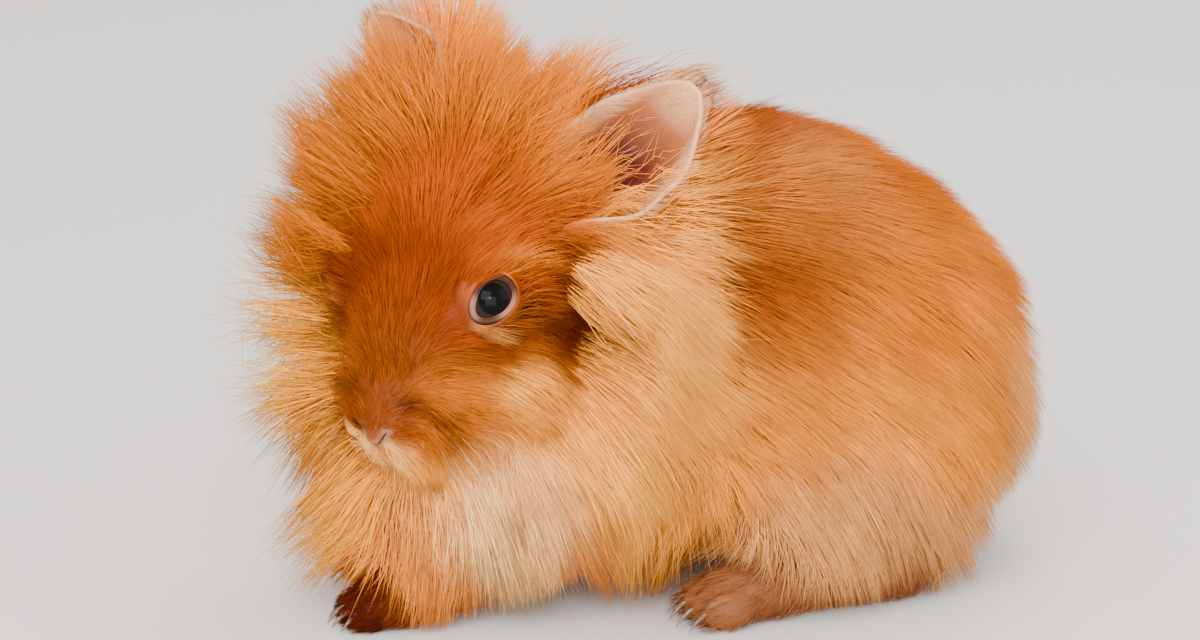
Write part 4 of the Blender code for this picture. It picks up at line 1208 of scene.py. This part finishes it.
def grow(context, name):
    """Grows one piece of the coat and sets it on the rabbit."""
    slot, seed, strands, rings, clump = PIECES[name]
    coat, rims = context.scene.rabbit_coat, name == "coat_ear_rims"
    width = context.scene.rabbit_skin.ear_width
    draw = np.random.default_rng(seed)
    skin = skin_arrays()
    count = int(strands * coat.fullness)
    roots, normals, flat = scatter(skin, part_faces(skin, width)[name], count, draw)
    tree = BVHTree.FromObject(bpy.data.objects["skin"], context.evaluated_depsgraph_get())
    spine, stops, length = spines(roots, normals, rings, coat, tree, draw, seed, rims)
    spine, tuft = gathered(spine, roots, stops, clump, coat.gather, draw)
    spine, large = gathered(spine, roots, stops, LARGE_TUFT, coat.gather * 0.45, draw)
    spine[..., 2] = np.maximum(spine[..., 2], OFF_FLOOR)
    keep = clear_of_face(spine, width)
    keep &= ((spine > np.array(ROOM[0])) & (spine < np.array(ROOM[1]))).all((1, 2))
    colours = tones_at(roots)
    if rims:
        colours = [np.tile(colour, (count, 1)) for colour in TONES[RIM_TONE]]
    bright = 1 + BRIGHT_VARIES[0] * draw.normal(size=count) + BRIGHT_VARIES[1] * draw.normal(size=count)[tuft]
    bright = np.clip(bright + BRIGHT_VARIES[2] * draw.normal(size=count)[large], 0.6, 1.35)
    thickness = coat.thickness * np.clip(length / LONG_STRAND, 0.7, 1.15)
    whole = np.clip((length - SHORT_STRAND) / LONG_STRAND, 0, 0.8)[:, None]
    normals = unit(normals * (1 - whole) + outward(spine[:, -1]) * whole)
    each = (normals, thickness, flat, *colours, bright)
    made = strand_mesh(name, spine[keep], stops, *[values[keep] for values in each])
    made.data.materials.append(coat_material())
    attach(made, "root")


class GrowsCoat:
    """Grows each piece of the coat that an operator lists"""

    def execute(self, context):
        for name in self.pieces:
            grow(context, name)
        return {"FINISHED"}


class RABBIT_OT_face_coat(GrowsCoat, bpy.types.Operator):
    """Grows the short coat of the face and the long coat of the crown and the cheeks"""

    bl_idname = "rabbit.face_coat"
    bl_label = "Grow the head's coat"
    pieces = ("coat_face", "coat_crown", "coat_cheek_left", "coat_cheek_right")


class RABBIT_OT_mane(GrowsCoat, bpy.types.Operator):
    """Grows the mane round the neck and the bib on the chest"""

    bl_idname = "rabbit.mane"
    bl_label = "Grow the mane"
    pieces = ("coat_mane_left", "coat_mane_right", "coat_chest")


class RABBIT_OT_body_coat(GrowsCoat, bpy.types.Operator):
    """Grows the coat of the back, the sides and the tail"""

    bl_idname = "rabbit.body_coat"
    bl_label = "Grow the body's coat"
    pieces = ("coat_back", "coat_side_left", "coat_side_right")


class RABBIT_OT_small_coat(GrowsCoat, bpy.types.Operator):
    """Grows the short coat of the feet and the hair of the ears"""

    bl_idname = "rabbit.small_coat"
    bl_label = "Grow the feet's and ears' coat"
    pieces = ("coat_feet", "coat_ears", "coat_ear_rims")


# Eyes, whiskers and claws


class RABBIT_OT_eyes(bpy.types.Operator):
    """Models both eyes, with a raised clear front and a dark iris round the pupil"""

    bl_idname = "rabbit.eyes"
    bl_label = "Model the eyes"

    def execute(self, context):
        for side in SIDES:
            centre, radius, axes = eye_of(side)
            eye = egg(centre, ALL_ROUND * radius, axes, 64, 48)
            look = axes.col[2]
            for point in eye.data.vertices:
                offset = point.co - centre
                front = max(0.0, offset.normalized().dot(look) - 0.70) / 0.30
                point.co = centre + offset * (1 + 0.045 * front ** 1.2)
            eye.name = "eyeball_" + side
            select(eye)
            bpy.ops.object.shade_smooth()
            eye.data.materials.append(self.finish(context, side, centre, look, radius))
            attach(eye, "root")
            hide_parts("eye_" + side)
        return {"FINISHED"}

    def finish(self, context, side, centre, look, radius):
        """A wet, very dark finish: a black pupil, and an iris that shows faintly round it."""
        made, tree, shader, place = new_material("eye_" + side, 0.06, 0.02)
        offset = add_node(tree, "VectorMath", {0: place, 1: centre + look * radius}, operation="SUBTRACT")
        away = add_node(tree, "VectorMath", {0: offset.outputs["Vector"]}, operation="LENGTH")
        scaled = add_node(tree, "Math", {0: away.outputs["Value"], 1: radius * 1.25}, operation="DIVIDE")
        black, iris = (0.002, 0.002, 0.002), context.scene.rabbit_face.iris
        ring = ramp(
            tree, scaled.outputs["Value"], (0.0, black), (0.40, black), (0.47, iris), (0.66, iris),
            (0.74, (0.012, 0.007, 0.005)), (1.0, (0.30, 0.24, 0.21)),
        )
        wired(tree, shader, {"Base Color": ring, "Coat Weight": 0.07, "Coat Roughness": 0.02})
        return made


def tapered_tube(points, thickness, sides):
    """Points and faces of a closed round tube that narrows to its tip."""
    places, faces = [], []
    facing = Vector((0, 0, 1))
    for k, point in enumerate(points[:-1]):
        ahead = (points[k + 1] - points[max(0, k - 1)]).normalized()
        side = facing.cross(ahead).normalized()
        top = ahead.cross(side)
        half = thickness / 2 * (1 - 0.85 * k / (len(points) - 1))
        for j in range(sides):
            turn = 2 * math.pi * j / sides
            places.append(point + (side * math.cos(turn) + top * math.sin(turn)) * half)
    places.append(points[-1])
    for k in range(len(points) - 2):
        for j in range(sides):
            other = (j + 1) % sides
            faces.append((k * sides + j, k * sides + other, (k + 1) * sides + other, (k + 1) * sides + j))
    last = (len(points) - 2) * sides
    for j in range(sides):
        faces.append((last + j, last + (j + 1) % sides, len(places) - 1))
    faces.append(tuple(range(sides))[::-1])
    return places, faces


def set_tubes(name, plans, sides, finish):
    """Sets one object of closed tubes on the rabbit, each from its line of points and thickness."""
    points, faces = [], []
    for line, thickness in plans:
        more, shapes = tapered_tube(line, thickness, sides)
        faces += [tuple(i + len(points) for i in shape) for shape in shapes]
        points += more
    made = mesh_object(name, points, faces)
    select(made)
    bpy.ops.object.shade_smooth()
    made.data.materials.append(finish)
    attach(made, "root")


class RABBIT_OT_whiskers(bpy.types.Operator):
    """Models the whiskers of both pads"""

    bl_idname = "rabbit.whiskers"
    bl_label = "Model the whiskers"

    def execute(self, context):
        sizes = context.scene.rabbit_face
        draw = np.random.default_rng(71)
        plans = []
        tree = BVHTree.FromObject(bpy.data.objects["skin"], context.evaluated_depsgraph_get())
        for sign in (1, -1):
            for row in range(4):
                for k in range(5 if sign < 0 else 3):
                    place = on_head(11 * sign, 7 + 2.6 * k, -5 - 2.4 * row)
                    root, normal, _, _ = tree.find_nearest(place)
                    spread = -0.42 * row + 0.35 + draw.uniform(-0.08, 0.08)
                    if sign > 0:
                        way = heading(0.62, 0.35 + 0.10 * k, spread - 0.62)
                        length = sizes.whisker_length * 0.62
                    else:
                        way = heading(-1, 0.05 + 0.14 * k, spread - 0.1)
                        length = sizes.whisker_length
                    length *= draw.uniform(0.6, 1.0)
                    droop = draw.uniform(0.08, 0.22)
                    root = root - normal * WHISKER_SUNK
                    line = [
                        root + way * length * step - UP * droop * length * step ** 2
                        for step in np.linspace(0, 1, 9)
                    ]
                    plans.append((line, sizes.whisker_thickness * (0.8 if sign > 0 else 1)))
        finish = grained("whisker", 0.35, 0.5, 60, (0.50, (0.05, 0.018, 0.008)), (0.66, (0.70, 0.52, 0.38)))
        set_tubes("whiskers", plans, 5, finish)
        return {"FINISHED"}


class RABBIT_OT_claws(bpy.types.Operator):
    """Models a curved, tapered claw on each toe"""

    bl_idname = "rabbit.claws"
    bl_label = "Model the claws"

    def execute(self, context):
        plans = []
        for plan in (HIND_TOES, FORE_TOES):
            for sign in (1, -1):
                for centre, radii in toe_masses(plan, sign):
                    root = centre + Vector((0, -radii.y * 0.55, radii.z * 0.1))
                    reach = radii.y * 0.58 + 0.0016
                    line = []
                    for step in np.linspace(0, 1, 8):
                        drop = (centre.z + radii.z * 0.1 - 0.0009) * step ** 1.6
                        line.append(root + Vector((0, -reach * step, -drop)))
                    plans.append((line, CLAW_THICKNESS))
        dark = context.scene.rabbit_face.claw
        set_tubes("claws", plans, 10, grained("claw", 0.32, 0.5, 700, (0, dark), (1, (0.20, 0.13, 0.10))))
        return {"FINISHED"}


# The stage


class RABBIT_OT_stage(bpy.types.Operator):
    """Sets the floor, the lights and the camera"""

    bl_idname = "rabbit.stage"
    bl_label = "Set the stage"

    def execute(self, context):
        stage = context.scene.rabbit_stage
        deselect()
        bpy.ops.mesh.primitive_plane_add(size=6)
        floor = context.object
        floor.name = "floor"
        shade = [value * 0.985 for value in stage.floor]
        floor.data.materials.append(grained("floor", 0.75, 0.2, 3, (0, shade), (1, stage.floor)))
        warm, key, fill = (1.0, 0.96, 0.92), stage.key_power, stage.fill_power
        self.light("key", Vector((1.05, -0.80, 1.10)), 1.1, key, (1.0, 0.97, 0.93))
        self.light("fill", Vector((1.20, -0.30, 0.28)), 1.0, fill * 1.7, warm)
        self.light("side", Vector((0.7, 1.0, 0.75)), 1.0, fill * 0.5, warm)
        self.light("rim", Vector((-0.7, 0.5, 1.2)), 0.8, fill, (1.0, 0.98, 0.95))
        self.light("window", Vector((1.25, -0.35, 0.75)), 0.16, fill * 0.5, (0.86, 0.94, 1.0))
        world = bpy.data.worlds.new("room")
        world.use_nodes = True
        sky = {"Color": (1.0, 0.97, 0.94, 1), "Strength": 1.7}
        wired(world.node_tree, world.node_tree.nodes["Background"], sky)
        context.scene.world = world
        self.camera(context, stage)
        return {"FINISHED"}

    def light(self, name, place, size, power, colour):
        lamp = bpy.data.lights.new(name, "AREA")
        lamp.size = size
        lamp.energy = power
        lamp.color = colour
        made = bpy.data.objects.new(name, lamp)
        bpy.context.scene.collection.objects.link(made)
        made.location = place
        made.rotation_mode = "QUATERNION"
        made.rotation_quaternion = (Vector((0, 0, 0.07)) - place).to_track_quat("-Z", "Y")

    def camera(self, context, stage):
        turn, lift = stage.camera_turn, stage.camera_height
        back = Vector((math.sin(turn) * math.cos(lift), -math.cos(turn) * math.cos(lift), math.sin(lift)))
        target = Vector((0, -BOX_MIDDLE.y, 0.070))
        eye = bpy.data.cameras.new("camera")
        eye.lens = stage.camera_lens
        eye.sensor_width = 36
        eye.clip_start = 0.01
        made = bpy.data.objects.new("camera", eye)
        bpy.context.scene.collection.objects.link(made)
        made.location = target + back * stage.camera_distance
        made.rotation_mode = "QUATERNION"
        made.rotation_quaternion = (-back).to_track_quat("-Z", "Y")
        context.scene.camera = made


OPERATORS = (
    RABBIT_OT_skin,
    RABBIT_OT_eyes,
    RABBIT_OT_whiskers,
    RABBIT_OT_claws,
    RABBIT_OT_face_coat,
    RABBIT_OT_mane,
    RABBIT_OT_body_coat,
    RABBIT_OT_small_coat,
    RABBIT_OT_stage,
)
GROUPS = {
    "rabbit_skin": RabbitSkin,
    "rabbit_coat": RabbitCoat,
    "rabbit_face": RabbitFace,
    "rabbit_stage": RabbitStage,
}


class RABBIT_PT_panel(bpy.types.Panel):
    """Lists the rabbit's sizes and colours, and the steps that model it"""

    bl_idname = "RABBIT_PT_panel"
    bl_label = "Lionhead Rabbit"
    bl_space_type = "VIEW_3D"
    bl_region_type = "UI"
    bl_category = "Rabbit"

    def draw(self, context):
        for operator in OPERATORS:
            self.layout.operator(operator.bl_idname)
        for name, group in GROUPS.items():
            box = self.layout.box()
            for setting in group.__annotations__:
                box.prop(getattr(context.scene, name), setting)


def register():
    for name, group in GROUPS.items():
        bpy.utils.register_class(group)
        setattr(bpy.types.Scene, name, bpy.props.PointerProperty(type=group))
    for operator in OPERATORS:
        bpy.utils.register_class(operator)
    bpy.utils.register_class(RABBIT_PT_panel)


def unregister():
    bpy.utils.unregister_class(RABBIT_PT_panel)
    for operator in reversed(OPERATORS):
        bpy.utils.unregister_class(operator)
    for name, group in GROUPS.items():
        delattr(bpy.types.Scene, name)
        bpy.utils.unregister_class(group)


def main():
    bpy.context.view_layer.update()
    register()
    bpy.ops.rabbit.skin()
    bpy.ops.rabbit.eyes()
    bpy.ops.rabbit.whiskers()
    bpy.ops.rabbit.claws()
    bpy.ops.rabbit.face_coat()
    bpy.ops.rabbit.mane()
    bpy.ops.rabbit.body_coat()
    bpy.ops.rabbit.small_coat()
    bpy.ops.rabbit.stage()


if __name__ == "__main__":
    main()
